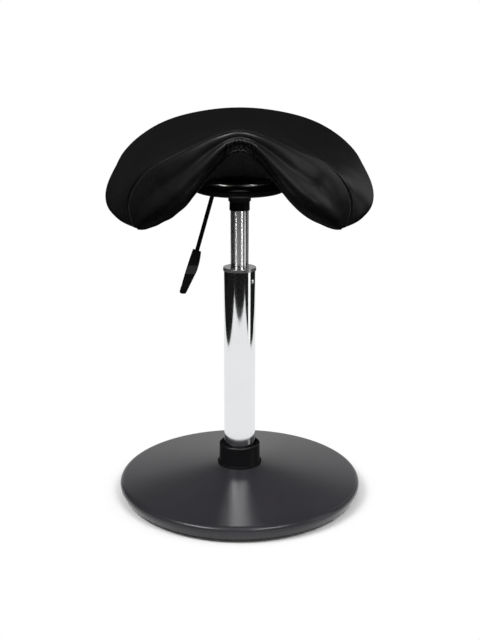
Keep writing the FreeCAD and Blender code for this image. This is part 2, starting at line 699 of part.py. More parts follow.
def lever_rod():
    """Bent rod: level over the release pin, then down out of the dish, with a cross sleeve on its pivot."""
    down = lever_direction()
    corner = lever_corner()
    turn = math.acos(-down.x)
    setback = LEVER_BEND * math.tan(turn / 2)
    nose = V(LEVER_NOSE, 0, PIVOT_Z)
    first = corner + V(setback, 0, 0)
    second = corner + down * setback
    inward = V(1, 0, 0) + down
    inward.normalize()
    centre = corner + inward * (LEVER_BEND / math.cos(turn / 2))
    middle = centre - inward * LEVER_BEND
    path = Part.Wire([Part.LineSegment(nose, first).toShape(), Part.Arc(first, middle, second).toShape(),
                      Part.LineSegment(second, corner + down * LEVER_LENGTH).toShape()])
    profile = Part.Wire(Part.makeCircle(LEVER_RADIUS, nose, V(1, 0, 0)))
    rod = path.makePipeShell([profile], True, False)
    half = HOUSING_WIDTH / 2 - HOUSING_WALL - SLOT_GAP
    sleeve = Part.makeCylinder(LEVER_SLEEVE_RADIUS, 2 * half, V(PIVOT_X, -half, PIVOT_Z), Y_AXIS)
    bore = Part.makeCylinder(PIVOT_RADIUS + RUNNING_GAP, 2 * half, V(PIVOT_X, -half, PIVOT_Z), Y_AXIS)
    return rod.fuse(sleeve).cut(bore)


def prism(edges, direction):
    """Closed outline extruded."""
    return Part.Face(Part.Wire(edges)).extrude(direction)


def lever_grip():
    """Paddle: its side outline and its front outline are crossed, and the rod's bore is cut in."""
    down = lever_direction()
    end = lever_corner() + down * LEVER_LENGTH
    top = end - down * GRIP_SOCKET
    side = [top + V(x, 0, z) for x, z in GRIP_SIDE]
    edges = [Part.Arc(side[0], side[1], side[2]).toShape(), Part.Arc(side[2], side[3], side[4]).toShape(),
             Part.Arc(side[4], side[5], side[6]).toShape(), Part.Arc(side[6], side[7], side[8]).toShape(),
             Part.LineSegment(side[8], side[0]).toShape()]
    depth = 2 * GRIP_HALF_WIDTH
    shape = prism([moved(e, 0, -depth) for e in edges], V(0, 2 * depth, 0))
    high, low = side[0].z + 1, side[3].z - 1
    waist = top.z - GRIP_WAIST
    tip = low + GRIP_HALF_WIDTH
    x = top.x + depth
    face = [
        Part.LineSegment(V(x, -GRIP_HALF_TOP, high), V(x, GRIP_HALF_TOP, high)).toShape(),
        Part.LineSegment(V(x, GRIP_HALF_TOP, high), V(x, GRIP_HALF_TOP, waist)).toShape(),
        Part.LineSegment(V(x, GRIP_HALF_TOP, waist), V(x, GRIP_HALF_WIDTH, waist - GRIP_FLARE)).toShape(),
        Part.LineSegment(V(x, GRIP_HALF_WIDTH, waist - GRIP_FLARE), V(x, GRIP_HALF_WIDTH, tip)).toShape(),
        Part.Arc(V(x, GRIP_HALF_WIDTH, tip), V(x, 0, low), V(x, -GRIP_HALF_WIDTH, tip)).toShape(),
        Part.LineSegment(V(x, -GRIP_HALF_WIDTH, tip), V(x, -GRIP_HALF_WIDTH, waist - GRIP_FLARE)).toShape(),
        Part.LineSegment(V(x, -GRIP_HALF_WIDTH, waist - GRIP_FLARE), V(x, -GRIP_HALF_TOP, waist)).toShape(),
        Part.LineSegment(V(x, -GRIP_HALF_TOP, waist), V(x, -GRIP_HALF_TOP, high)).toShape(),
    ]
    paddle = shape.common(prism(face, V(-4 * depth, 0, 0)))
    return paddle.cut(Part.makeCylinder(LEVER_RADIUS, 2 * GRIP_SOCKET, end, down * -1))


def rail_point(rail, index, side):
    """Point of a seat rail, mirrored to the left wing where side is -1."""
    x, y, height = rail[index]
    return V(side * x, y, MOUNT_TOP + height)


def bulged(start, end, centre, height):
    """Middle of two points, pushed away from the section's centre."""
    along = end - start
    along.normalize()
    middle = (start + end) * 0.5
    out = middle - centre
    out = out - along * out.dot(along)
    out.normalize()
    return middle + out * height


def cushion_section(index, side):
    """Closed section of the cushion: front panel, top, back roll and underside, each one arc."""
    rails = (FRONT_EDGE, FRONT_SEAM, CROWN, BACK_RIM, BACK_EDGE, UNDERSIDE)
    edge, seam, crown, rim, back, under = (rail_point(rail, index, side) for rail in rails)
    centre = (edge + seam + rim + back) * 0.25
    front = bulged(edge, seam, centre, FRONT_BULGE[index])
    rear = bulged(rim, back, centre, BACK_BULGE[index])
    points = [edge, front, seam, crown, rim, rear, back, under]
    if index == len(CROWN) - 1:
        points = flattened(points)
    arcs = [Part.Arc(points[k], points[k + 1], points[(k + 2) % 8]).toShape() for k in (0, 2, 4, 6)]
    return Part.Wire(arcs)


def flattened(points):
    """Points of a wing's tip dropped onto the plane of its front edge, crown and back edge."""
    normal = (points[3] - points[0]).cross(points[6] - points[0])
    normal.normalize()
    return [p - normal * (p - points[0]).dot(normal) for p in points]


def stations(last):
    """Station numbers with their sides, from the left wing's tip to the right wing's tip."""
    right = range(1, last + 1)
    return [(k, -1) for k in reversed(right)] + [(0, 1)] + [(k, 1) for k in right]


def seat_blank():
    """Saddle cushion before the fasteners are cut out."""
    sections = [cushion_section(k, side) for k, side in stations(len(CROWN) - 1)]
    return Part.makeLoft(sections, True, False)


def band_section(index, side, inset, edge_depth, depth):
    """Closed section of a layer under the cushion, reaching a little way up into it."""
    edge = rail_point(FRONT_EDGE, index, side)
    back = rail_point(BACK_EDGE, index, side)
    under = rail_point(UNDERSIDE, index, side)
    out = under - (edge + back) * 0.5
    out.normalize()
    front = edge + (back - edge) * inset
    rear = back + (edge - back) * inset
    low = [front + out * edge_depth, under + out * depth, rear + out * edge_depth]
    high = [p - out * CORE_OVERLAP for p in (rear, under, front)]
    return Part.Wire([Part.Arc(*low).toShape(), Part.LineSegment(low[2], high[0]).toShape(),
                      Part.Arc(*high).toShape(), Part.LineSegment(high[2], low[0]).toShape()])


def under_band(inset, edge_depth, depth):
    """Layer under the cushion, from wing to wing."""
    sections = [band_section(k, side, inset, edge_depth, depth) for k, side in stations(len(CROWN) - 2)]
    return Part.makeLoft(sections, True, False)


def seat_parts():
    """Cushion, moulded shell, cloth liner and spacer block, cut to fit each other and the fasteners."""
    cushion = seat_blank()
    shell = under_band(SHELL_INSET, SHELL_EDGE, SHELL_THICKNESS).cut(cushion)
    liner = under_band(LINER_INSET, LINER_THICKNESS, SHELL_THICKNESS + LINER_THICKNESS)
    liner = liner.cut(cushion).cut(shell)
    block = box(MOUNT_WIDTH / 2, MOUNT_LENGTH / 2, MOUNT_TOP, MOUNT_TOP + SPACER_HEIGHT)
    block = cut_all(block, [cushion, shell, liner])
    top = MOUNT_LOW + SEAT_SCREW_LENGTH
    holes = at_corners(disc(NUT_RADIUS, top - NUT_LENGTH, top), SEAT_SCREW_X, SEAT_SCREW_Y) + seat_screws()
    named = {"seat_cushion": cushion, "seat_shell": shell, "underside_liner": liner, "seat_spacer": block}
    return {name: cut_all(shape, holes) for name, shape in named.items()}


def parts():
    """Every sub-part by its node name."""
    named = {
        "rocker_sole": rocker_sole(),
        "base_plate": base_plate(),
        "ballast_disc": ballast_disc(),
        "base_cover": base_cover(),
        "cover_screws": Part.makeCompound(cover_screws()),
        "hub_socket": hub_socket(),
        "hub_bolts": Part.makeCompound(hub_bolts()),
        "hub_collar": hub_collar(),
        "column_tube": column_tube(),
        "column_foot": column_foot(),
        "guide_bush": guide_bush(),
        "column_cap": column_cap(),
        "lower_race": lower_race(),
        "upper_race": upper_race(),
        "bearing_balls": bearing_balls(),
        "bearing_cage": bearing_cage(),
        "piston_rod": piston_rod(),
        "retaining_clip": retaining_clip(),
        "bump_stop": bump_stop(),
        "piston": piston(),
        "piston_seal": piston_seal(),
        "gas_cylinder": gas_cylinder(),
        "pressure_tube": pressure_tube(),
        "rod_seal": rod_seal(),
        "rod_guide": rod_guide(),
        "valve_body": valve_body(),
        "release_pin": release_pin(),
        "cone_socket": cone_socket(),
        "neck_ring": neck_ring(),
        "mechanism_cover": mechanism_cover(),
        "dish_lid": dish_lid(),
        "dish_screws": Part.makeCompound(dish_screws()),
        "mechanism_housing": mechanism_housing(),
        "mount_plate": mount_plate(),
        "seat_screws": Part.makeCompound(seat_screws()),
        "insert_nuts": Part.makeCompound(insert_nuts()),
        "pivot_pin": pivot_pin(),
        "lever_rod": lever_rod(),
        "lever_grip": lever_grip(),
    }
    named.update(seat_parts())
    return named


def main():
    """Write every sub-part to its own file."""
    os.makedirs("parts", exist_ok=True)
    for name, shape in parts().items():
        shape.exportStep(os.path.join("parts", name + ".step"))
        print(name, len(shape.Solids), "solids", round(shape.Volume / 1000.0, 2), "cm3", shape.isValid())


main()
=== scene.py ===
"""Saddle stool: the looks of its pieces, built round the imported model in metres."""

import logging
import math
from dataclasses import dataclass, field
from enum import Enum

import bmesh
import bpy
import numpy as np
from mathutils import Matrix, Vector
from mathutils.kdtree import KDTree


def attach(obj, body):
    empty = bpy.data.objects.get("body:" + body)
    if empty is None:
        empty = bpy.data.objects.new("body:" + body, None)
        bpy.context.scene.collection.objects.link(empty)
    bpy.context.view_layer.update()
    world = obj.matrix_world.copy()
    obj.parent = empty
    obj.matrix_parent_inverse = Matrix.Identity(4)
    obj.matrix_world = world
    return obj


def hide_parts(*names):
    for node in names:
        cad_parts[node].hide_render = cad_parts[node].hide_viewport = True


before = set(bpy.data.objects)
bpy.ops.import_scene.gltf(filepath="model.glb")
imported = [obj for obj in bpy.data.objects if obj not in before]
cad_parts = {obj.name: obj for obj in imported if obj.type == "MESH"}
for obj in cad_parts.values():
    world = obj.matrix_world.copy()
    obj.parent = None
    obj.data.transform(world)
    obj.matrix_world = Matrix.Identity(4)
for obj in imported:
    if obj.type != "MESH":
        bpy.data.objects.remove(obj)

LOG = logging.getLogger("saddle_stool")
MM = 0.001
SEAT_BODY = "seat"
WHITE = (1.0, 1.0, 1.0, 1.0)
Colour = tuple[float, float, float]
Point = tuple[float, float, float]
Sockets = dict[int | str, object]


@dataclass(frozen=True)
class Layer:
    """Layer of relief: features per metre, octaves or None for cells, strength, depth in metres.

    Its squeeze is a further factor for each axis, which draws the features out along the axis with the least.
    """

    scale: float
    detail: float | None
    strength: float
    depth: float
    squeeze: Point | None = None


class Grain(Enum):
    """Kinds of surface: patches of wear per metre, how far they change the roughness, and layers of relief.

    Without patches the only layer colours the surface too.
    """

    LEATHER = (14.0, 0.04, Layer(38.0, 3.0, 0.18, 0.0012), Layer(620.0, None, 0.35, 0.00022),
               Layer(1500.0, 2.0, 0.25, 0.0001))
    MOULDED = (9.0, 0.025, Layer(12.0, 2.0, 0.10, 0.0006), Layer(900.0, 3.0, 0.22, 0.00008))
    POLISHED = (16.0, 0.02, Layer(5.0, 3.0, 0.05, 0.0001, (160.0, 160.0, 1.2)))
    SATIN_METAL = (16.0, 0.02, Layer(5.0, 3.0, 0.01, 0.0001, (160.0, 160.0, 1.2)))
    COATED = (20.0, 0.05, Layer(420.0, 2.0, 0.25, 0.00015))
    CAST = (30.0, 0.08, Layer(160.0, 6.0, 0.5, 0.0005))
    RUBBER = (25.0, 0.06, Layer(260.0, 5.0, 0.4, 0.0003))
    FELT = (26.0, 0.03, Layer(90.0, 3.0, 0.3, 0.0003, (14.0, 2.0, 2.0)),
            Layer(90.0, 3.0, 0.3, 0.0003, (2.0, 14.0, 2.0)))
    WOOD = (None, 0.0, Layer(6.0, 5.0, 0.3, 0.0003, (3.0, 22.0, 22.0)))
    THREAD = (300.0, 0.05, Layer(2400.0, 2.0, 0.5, 0.0001))


def new_material(name: str) -> bpy.types.Material:
    """Material with nodes.

    Args:
        name: Name of the new material.

    Returns:
        The material.
    """
    material = bpy.data.materials.new(name)
    material.use_nodes = True
    return material


class Tree:
    """Node tree that is filled node by node."""

    def __init__(self, tree: bpy.types.NodeTree) -> None:
        """Start from an emptied tree."""
        self.nodes, self.links = tree.nodes, tree.links
        self.nodes.clear()

    def put(self, node: bpy.types.Node, name: int | str, value: object) -> None:
        """Set an input socket, or link it where the value is a socket."""
        if isinstance(value, bpy.types.NodeSocket):
            self.links.new(value, node.inputs[name])
        else:
            node.inputs[name].default_value = value

    def add(self, kind: str, sockets: Sockets | None = None, **values: object) -> bpy.types.Node:
        """Add a node and set it up.

        Args:
            kind: Node type.
            sockets: Values or feeding sockets of its inputs, by name or number.
            values: Its properties by name.

        Returns:
            The new node.
        """
        node = self.nodes.new(kind)
        for name, value in values.items():
            setattr(node, name, value)
        for name, value in (sockets or {}).items():
            self.put(node, name, value)
        return node

    def out(self, kind: str, sockets: Sockets | None = None, **values: object) -> bpy.types.NodeSocket:
        """First output of a node that is added the same way."""
        return self.add(kind, sockets, **values).outputs[0]


class Graph(Tree):
    """Node tree of one material, with a Principled shader ready on its output."""

    def __init__(self, name: str) -> None:
        """Make the material.

        Args:
            name: Name of the new material.
        """
        self.material = new_material(name)
        super().__init__(self.material.node_tree)
        self.shader = self.add("ShaderNodeBsdfPrincipled")
        self.add("ShaderNodeOutputMaterial", {"Surface": self.shader.outputs["BSDF"]})
        self.place = self.add("ShaderNodeTexCoord").outputs["Object"]

    def pattern(self, scale: float, detail: float | None = 4.0,
                squeeze: Point | None = None) -> bpy.types.NodeSocket:
        """Noise or cells on the object's own coordinates.

        Args:
            scale: Features per metre.
            detail: Octaves of the noise, or None for the distance to the edges of cells.
            squeeze: Further factor for each axis.

        Returns:
            Socket with a value from 0 to 1.
        """
        place = self.place
        if squeeze:
            place = self.out("ShaderNodeMapping", {"Scale": squeeze, "Vector": place})
        sockets = {"Scale": scale, "Vector": place}
        if detail is None:
            return self.out("ShaderNodeTexVoronoi", sockets, feature="DISTANCE_TO_EDGE")
        return self.out("ShaderNodeTexNoise", {"Detail": detail, **sockets})

    def tint(self, value: bpy.types.NodeSocket, dark: Colour, light: Colour) -> None:
        """Colour the shader between two colours.

        Args:
            value: Socket from 0 to 1.
            dark: Colour at the value's low end.
            light: Colour at its high end.
        """
        ramp = self.add("ShaderNodeValToRGB", {"Fac": value})
        for stop, position, colour in zip(ramp.color_ramp.elements, (0.3, 0.7), (dark, light)):
            stop.position = position
            stop.color = (*colour, 1.0)
        self.put(self.shader, "Base Color", ramp.outputs["Color"])

    def relief(self, layers: list[Layer]) -> bpy.types.NodeSocket:
        """Stack bumps on the shader's normal.

        Args:
            layers: Layers of relief, the lowest first.

        Returns:
            Socket with the height of the last layer.
        """
        below = {}
        for layer in layers:
            height = self.pattern(layer.scale, layer.detail, layer.squeeze)
            below = {"Normal": self.out("ShaderNodeBump", {
                "Strength": layer.strength, "Distance": layer.depth, "Height": height, **below})}
        self.put(self.shader, "Normal", below["Normal"])
        return height


@dataclass(frozen=True)
class Finish:
    """How one kind of surface looks: its level is the specular one, and brushed the stretch of its gloss."""

    name: str
    slot: str
    grain: Grain
    colour: Colour
    roughness: float
    metallic: float = 0.0
    level: float = 0.5
    brushed: float = 0.0
    variation: float = 0.12

    def material(self) -> bpy.types.Material:
        """The material, made once and then shared."""
        found = bpy.data.materials.get(self.name)
        if found is not None:
            return found
        graph = Graph(self.name)
        looks = {"Metallic": self.metallic, "Specular IOR Level": self.level}
        if self.brushed:
            quarter_turn = 0.25
            tangent = graph.out("ShaderNodeTangent", direction_type="RADIAL", axis="Z")
            looks |= {"Anisotropic": self.brushed, "Anisotropic Rotation": quarter_turn, "Tangent": tangent}
        for name, value in looks.items():
            graph.put(graph.shader, name, value)
        patches, change, *layers = self.grain.value
        height = graph.relief(layers)
        if patches is None:
            graph.tint(height, self.shade(1.0 - 2 * self.variation), self.shade(1.0 + self.variation))
            graph.put(graph.shader, "Roughness", self.roughness)
            return graph.material
        graph.tint(graph.pattern(patches), self.shade(1.0 - self.variation), self.shade(1.0 + self.variation))
        finer = 3.1
        limits = {"To Min": self.roughness - change, "To Max": self.roughness + change}
        rough = graph.out("ShaderNodeMapRange", {"Value": graph.pattern(patches * finer), **limits})
        graph.put(graph.shader, "Roughness", rough)
        return graph.material

    def shade(self, factor: float) -> Colour:
        """Own colour made darker or lighter."""
        return tuple(min(1.0, c * factor) for c in self.colour)


LEATHERETTE = Finish("black_leatherette_cover", "black_leatherette", Grain.LEATHER, (0.0042, 0.0042, 0.0045),
                     0.42, level=0.60)
PIPING = Finish("black_edge_trim", "black_leatherette", Grain.COATED, (0.0016, 0.0016, 0.0017), 0.38,
                level=0.35)
THREAD = Finish("grey_topstitch", "black_leatherette", Grain.THREAD, (0.050, 0.050, 0.052), 0.65)
LINER_CLOTH = Finish("black_liner_felt", "liner_cloth", Grain.FELT, (0.0060, 0.0060, 0.0063), 0.85,
                     level=0.3)
COVER_GREY = Finish("base_cover_grey", "base_grey_plastic", Grain.MOULDED, (0.0275, 0.0260, 0.0303), 0.26,
                    level=0.34)
COLLAR_BLACK = Finish("collar_black", "collar_plastic", Grain.MOULDED, (0.0050, 0.0050, 0.0060), 0.36,
                      level=0.4)
NECK_GREY = Finish("neck_grey", "collar_plastic", Grain.MOULDED, (0.0080, 0.0080, 0.0085), 0.42, level=0.35)
TUBE_CHROME = Finish("mirror_chrome", "column_chrome", Grain.POLISHED, (0.86, 0.87, 0.88), 0.07,
                     metallic=1.0, variation=0.02)
CYLINDER_CHROME = Finish("satin_chrome", "cylinder_chrome", Grain.SATIN_METAL, (0.72, 0.72, 0.73), 0.25,
                         metallic=1.0, brushed=0.92, variation=0.03)
CAP_GREY = Finish("cap_grey", "cap_plastic", Grain.MOULDED, (0.34, 0.34, 0.345), 0.24, metallic=0.8)
DISH_BLACK = Finish("dish_gloss_black", "gloss_black_plastic", Grain.MOULDED, (0.0008, 0.0008, 0.0008), 0.13,
                    level=0.8)
DISH_SATIN = Finish("dish_satin_black", "gloss_black_plastic", Grain.MOULDED, (0.0040, 0.0040, 0.0042), 0.50,
                    level=0.2)
STEEL_BLACK = Finish("steel_black_coat", "black_steel", Grain.COATED, (0.0024, 0.0024, 0.0026), 0.40,
                     level=0.25)
GRIP_BLACK = Finish("lever_grip_black", "collar_plastic", Grain.MOULDED, (0.0030, 0.0030, 0.0032), 0.36,
                    level=0.3)
SOLE_RUBBER = Finish("sole_rubber", "black_rubber", Grain.RUBBER, (0.030, 0.030, 0.031), 0.8)
SEAL_RUBBER = Finish("seal_rubber", "black_rubber", Grain.RUBBER, (0.012, 0.012, 0.012), 0.7)
PLATE_STEEL = Finish("rolled_plate_steel", "plate_steel", Grain.CAST, (0.30, 0.30, 0.31), 0.42, metallic=1.0)
BALLAST_IRON = Finish("cast_ballast_iron", "iron", Grain.CAST, (0.11, 0.11, 0.115), 0.62, metallic=1.0)
FASTENER_STEEL = Finish("zinc_fasteners", "fastener_steel", Grain.CAST, (0.48, 0.48, 0.47), 0.34,
                        metallic=1.0)
ROD_STEEL = Finish("ground_rod_steel", "rod_steel", Grain.POLISHED, (0.62, 0.62, 0.64), 0.16, metallic=1.0)
BUSH_PLASTIC = Finish("pale_bush_plastic", "bush_plastic", Grain.MOULDED, (0.55, 0.55, 0.53), 0.5)
SHELL_PLY = Finish("black_stained_ply", "shell_plywood", Grain.WOOD, (0.012, 0.011, 0.010), 0.6)

FINISHED_NODES: dict[Finish, tuple[str, ...]] = {
    SOLE_RUBBER: ("rocker_sole",),
    PLATE_STEEL: ("base_plate", "hub_socket", "column_foot"),
    BALLAST_IRON: ("ballast_disc",),
    COVER_GREY: ("base_cover",),
    COLLAR_BLACK: ("hub_collar", "seat_spacer"),
    TUBE_CHROME: ("column_tube",),
    BUSH_PLASTIC: ("guide_bush", "rod_guide"),
    CAP_GREY: ("column_cap",),
    FASTENER_STEEL: ("cover_screws", "hub_bolts", "lower_race", "bearing_balls", "bearing_cage", "upper_race",
                     "retaining_clip", "piston", "valve_body", "release_pin", "dish_screws", "seat_screws",
                     "insert_nuts", "pivot_pin"),
    ROD_STEEL: ("piston_rod", "pressure_tube"),
    SEAL_RUBBER: ("bump_stop", "piston_seal", "rod_seal"),
    CYLINDER_CHROME: ("gas_cylinder",),
    NECK_GREY: ("neck_ring",),
    DISH_BLACK: ("mechanism_cover", "dish_lid"),
    STEEL_BLACK: ("cone_socket", "mechanism_housing", "mount_plate", "lever_rod"),
    SHELL_PLY: ("seat_shell",),
    LINER_CLOTH: ("underside_liner",),
    LEATHERETTE: ("seat_cushion",),
    GRIP_BLACK: ("lever_grip",),
}

COVER_CLOTH: dict[str, float | bool | str] = {
    "quality": 6, "mass": 0.4, "tension_stiffness": 25, "compression_stiffness": 25, "shear_stiffness": 12,
    "bending_stiffness": 2.0, "use_pressure": True, "uniform_pressure_force": 3.0,
    "vertex_group_mass": "held", "pin_stiffness": 1.0, "shrink_min": -0.012,
}


def object_of(name: str, work: bmesh.types.BMesh) -> bpy.types.Object:
    """Object in the scene made from a bmesh.

    Args:
        name: Name of the object and its mesh.
        work: The mesh, freed here.

    Returns:
        The new object.
    """
    mesh = bpy.data.meshes.new(name)
    work.to_mesh(mesh)
    work.free()
    made = bpy.data.objects.new(name, mesh)
    bpy.context.scene.collection.objects.link(made)
    return made


def seat_piece(name: str, work: bmesh.types.BMesh, finish: Finish) -> bpy.types.Object:
    """Turn a bmesh into a smooth-shaded piece that rides on the seat.

    Args:
        name: Name of the piece.
        work: Its mesh, freed here.
        finish: Its finish.

    Returns:
        The new object.
    """
    piece = object_of(name, work)
    piece.data.materials.append(finish.material())
    for face in piece.data.polygons:
        face.use_smooth = True
    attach(piece, SEAT_BODY)
    return piece


def evaluated_mesh(holder: bpy.types.Object) -> bpy.types.Mesh:
    """Copy of an object's mesh with its modifiers applied."""
    return bpy.data.meshes.new_from_object(holder.evaluated_get(bpy.context.evaluated_depsgraph_get()))


def sheet_of(points: np.ndarray) -> bmesh.types.BMesh:
    """Sheet of faces through a grid of points.

    Args:
        points: Array of shape (columns, rows, 3) in millimetres.

    Returns:
        The sheet.
    """
    columns, rows, _ = points.shape
    work = bmesh.new()
    bmesh.ops.create_grid(work, x_segments=rows - 1, y_segments=columns - 1, size=1.0)
    for vert, place in zip(work.verts, points.reshape(-1, 3)):
        vert.co = Vector(place) * MM
    return work


def spline(stations: np.ndarray, values: np.ndarray, places: np.ndarray) -> np.ndarray:
    """Natural cubic spline through rows of values.

    Args:
        stations: Rising parameters, one for each row.
        values: Rows to pass through.
        places: Parameters to read the spline at.

    Returns:
        One row for each place.
    """
    count = len(stations)
    gaps = np.diff(stations)
    system = np.eye(count)
    right = np.zeros_like(values)
    for k in range(1, count - 1):
        system[k, k - 1:k + 2] = gaps[k - 1], 2 * (gaps[k - 1] + gaps[k]), gaps[k]
        right[k] = 6 * ((values[k + 1] - values[k]) / gaps[k] - (values[k] - values[k - 1]) / gaps[k - 1])
    bends = np.linalg.solve(system, right)
    span = np.clip(np.searchsorted(stations, places, side="right") - 1, 0, count - 2)
    gap = gaps[span][:, None]
    after = (places - stations[span])[:, None]
    before = gap - after
    return ((bends[span] * before ** 3 + bends[span + 1] * after ** 3) / (6 * gap)
            + (values[span] / gap - bends[span] * gap / 6) * before
            + (values[span + 1] / gap - bends[span + 1] * gap / 6) * after)


def arc_points(start: np.ndarray, middle: np.ndarray, end: np.ndarray, shares: np.ndarray) -> np.ndarray:
    """Points along the circular arc through three points.

    Args:
        start: First point.
        middle: Point on the arc.
        end: Last point.
        shares: Fractions of the arc, from 0 to 1.

    Returns:
        One point for each fraction.
    """
    a, b = middle - start, end - start
    normal = np.cross(a, b)
    size = np.dot(normal, normal)
    if size < 1e-9:
        return start + shares[:, None] * b
    centre = start + (np.dot(b, b) * np.cross(normal, a) + np.dot(a, a) * np.cross(b, normal)) / (2 * size)
    first = start - centre
    normal = normal / math.sqrt(size)
    side = np.cross(normal, first)
    last = end - centre
    angle = math.atan2(np.dot(last, side), np.dot(last, first)) % (2 * math.pi)
    turn = shares * angle
    return centre + np.cos(turn)[:, None] * first + np.sin(turn)[:, None] * side


def bump(value: np.ndarray, centre: float, width: float) -> np.ndarray:
    """Smooth bell of height 1 about a centre."""
    return np.exp(-((value - centre) / width) ** 2)


def ease(value: np.ndarray, low: float, high: float) -> np.ndarray:
    """Smooth step from 0 at low to 1 at high."""
    share = np.clip((value - low) / (high - low), 0.0, 1.0)
    return share * share * (3 - 2 * share)


@dataclass
class SaddleForm:
    """Curved surface of the cushion: eight stations from the middle to a wing's tip, mirrored."""

    base: float = 514.0
    front_edge: list[Point] = field(default_factory=lambda: [
        (0, -160, 53), (36, -142, 25), (76, -110, -27), (104, -80, -52), (125, -55, -65), (140, -33, -73),
        (148, -19, -76), (155, -9, -78)])
    front_seam: list[Point] = field(default_factory=lambda: [
        (0, -150, 78), (52, -136, 63), (98, -105, 42), (129, -75, 23), (152, -48, -2), (167, -25, -33),
        (168, -17, -53), (161, -9, -74)])
    crown: list[Point] = field(default_factory=lambda: [
        (0, -25, 69), (62, -20, 60), (114, -10, 43), (155, 0, 19), (187, 10, -6), (207, 20, -34),
        (204, 17, -50), (190, 12, -65)])
    back_rim: list[Point] = field(default_factory=lambda: [
        (0, 140, 95), (88, 135, 85), (140, 122, 66), (172, 102, 43), (193, 82, 18), (204, 62, -13),
        (201, 52, -35), (190, 38, -56)])
    back_edge: list[Point] = field(default_factory=lambda: [
        (0, 165, 58), (92, 158, 46), (146, 140, 29), (178, 114, 9), (192, 92, -14), (192, 70, -40),
        (188, 60, -55), (181, 46, -65)])
    underside: list[Point] = field(default_factory=lambda: [
        (0, 0, 12.5), (58, 0, 10), (100, 5, -5), (128, 10, -32), (150, 15, -52), (163, 20, -65),
        (165, 19, -71), (167, 18, -74)])
    front_bulge: list[float] = field(default_factory=lambda: [12, 15, 18, 18, 16, 11, 7, 2])
    back_bulge: list[float] = field(default_factory=lambda: [14, 13, 12, 12, 10, 8, 6, 3])

    def rail(self, points: list[Point], station: int) -> np.ndarray:
        """Point of a rail at a station from -7 at the left tip to 7 at the right one."""
        x, y, height = points[abs(station)]
        return np.array([math.copysign(x, station) if station else x, y, self.base + height], float)

    @staticmethod
    def bulged(start: np.ndarray, end: np.ndarray, centre: np.ndarray, height: float) -> np.ndarray:
        """Middle of two points pushed away from the section's centre.

        Args:
            start: First point.
            end: Second point.
            centre: Centre of the section.
            height: Push in millimetres.

        Returns:
            The pushed point.
        """
        along = (end - start) / np.linalg.norm(end - start)
        middle = (start + end) / 2
        out = middle - centre
        out = out - along * np.dot(out, along)
        return middle + out / np.linalg.norm(out) * height

    def section(self, station: int) -> list[np.ndarray]:
        """Section of the cushion.

        Args:
            station: Number from -7 at the left tip to 7 at the right one.

        Returns:
            Its eight points: edge, front, seam, crown, rim, rear, back edge and underside.
        """
        edge, seam, crown, rim, back, under = (self.rail(rail, station) for rail in (
            self.front_edge, self.front_seam, self.crown, self.back_rim, self.back_edge, self.underside))
        centre = (edge + seam + rim + back) / 4
        front = self.bulged(edge, seam, centre, self.front_bulge[abs(station)])
        rear = self.bulged(rim, back, centre, self.back_bulge[abs(station)])
        points = [edge, front, seam, crown, rim, rear, back, under]
        if abs(station) == len(self.crown) - 1:
            normal = np.cross(crown - edge, back - edge)
            normal /= np.linalg.norm(normal)
            points = [p - normal * np.dot(p - edge, normal) for p in points]
        return points

    @staticmethod
    def joined(sections: list[np.ndarray], across: np.ndarray) -> np.ndarray:
        """Surface through sections that stand as far apart as their points do on average.

        Args:
            sections: Points of each section, from left to right.
            across: Places from -1 at the first section to 1 at the last one.

        Returns:
            Array of shape (places, points, 3).
        """
        rows = np.array(sections)
        steps = np.linalg.norm(np.diff(rows, axis=0), axis=2).mean(axis=1)
        stations = np.concatenate([[0.0], np.cumsum(steps)])
        stations = 2 * stations / stations[-1] - 1
        return spline(stations, rows.reshape(len(rows), -1), across).reshape(len(across), -1, 3)

    def grid(self, across: np.ndarray, runs: list[np.ndarray]) -> np.ndarray:
        """Surface points.

        Args:
            across: Places from -1 at the left tip to 1 at the right one.
            runs: Fractions along the front panel, top panel, back roll and underside, in that order.

        Returns:
            Array of shape (places, fractions, 3) in millimetres.
        """
        last = len(self.crown) - 1
        sections = []
        for station in range(-last, last + 1):
            points = self.section(station)
            sections.append(np.vstack([arc_points(points[k], points[k + 1], points[(k + 2) % 8], share)
                                       for k, share in zip((0, 2, 4, 6), runs)]))
        return self.joined(sections, across)


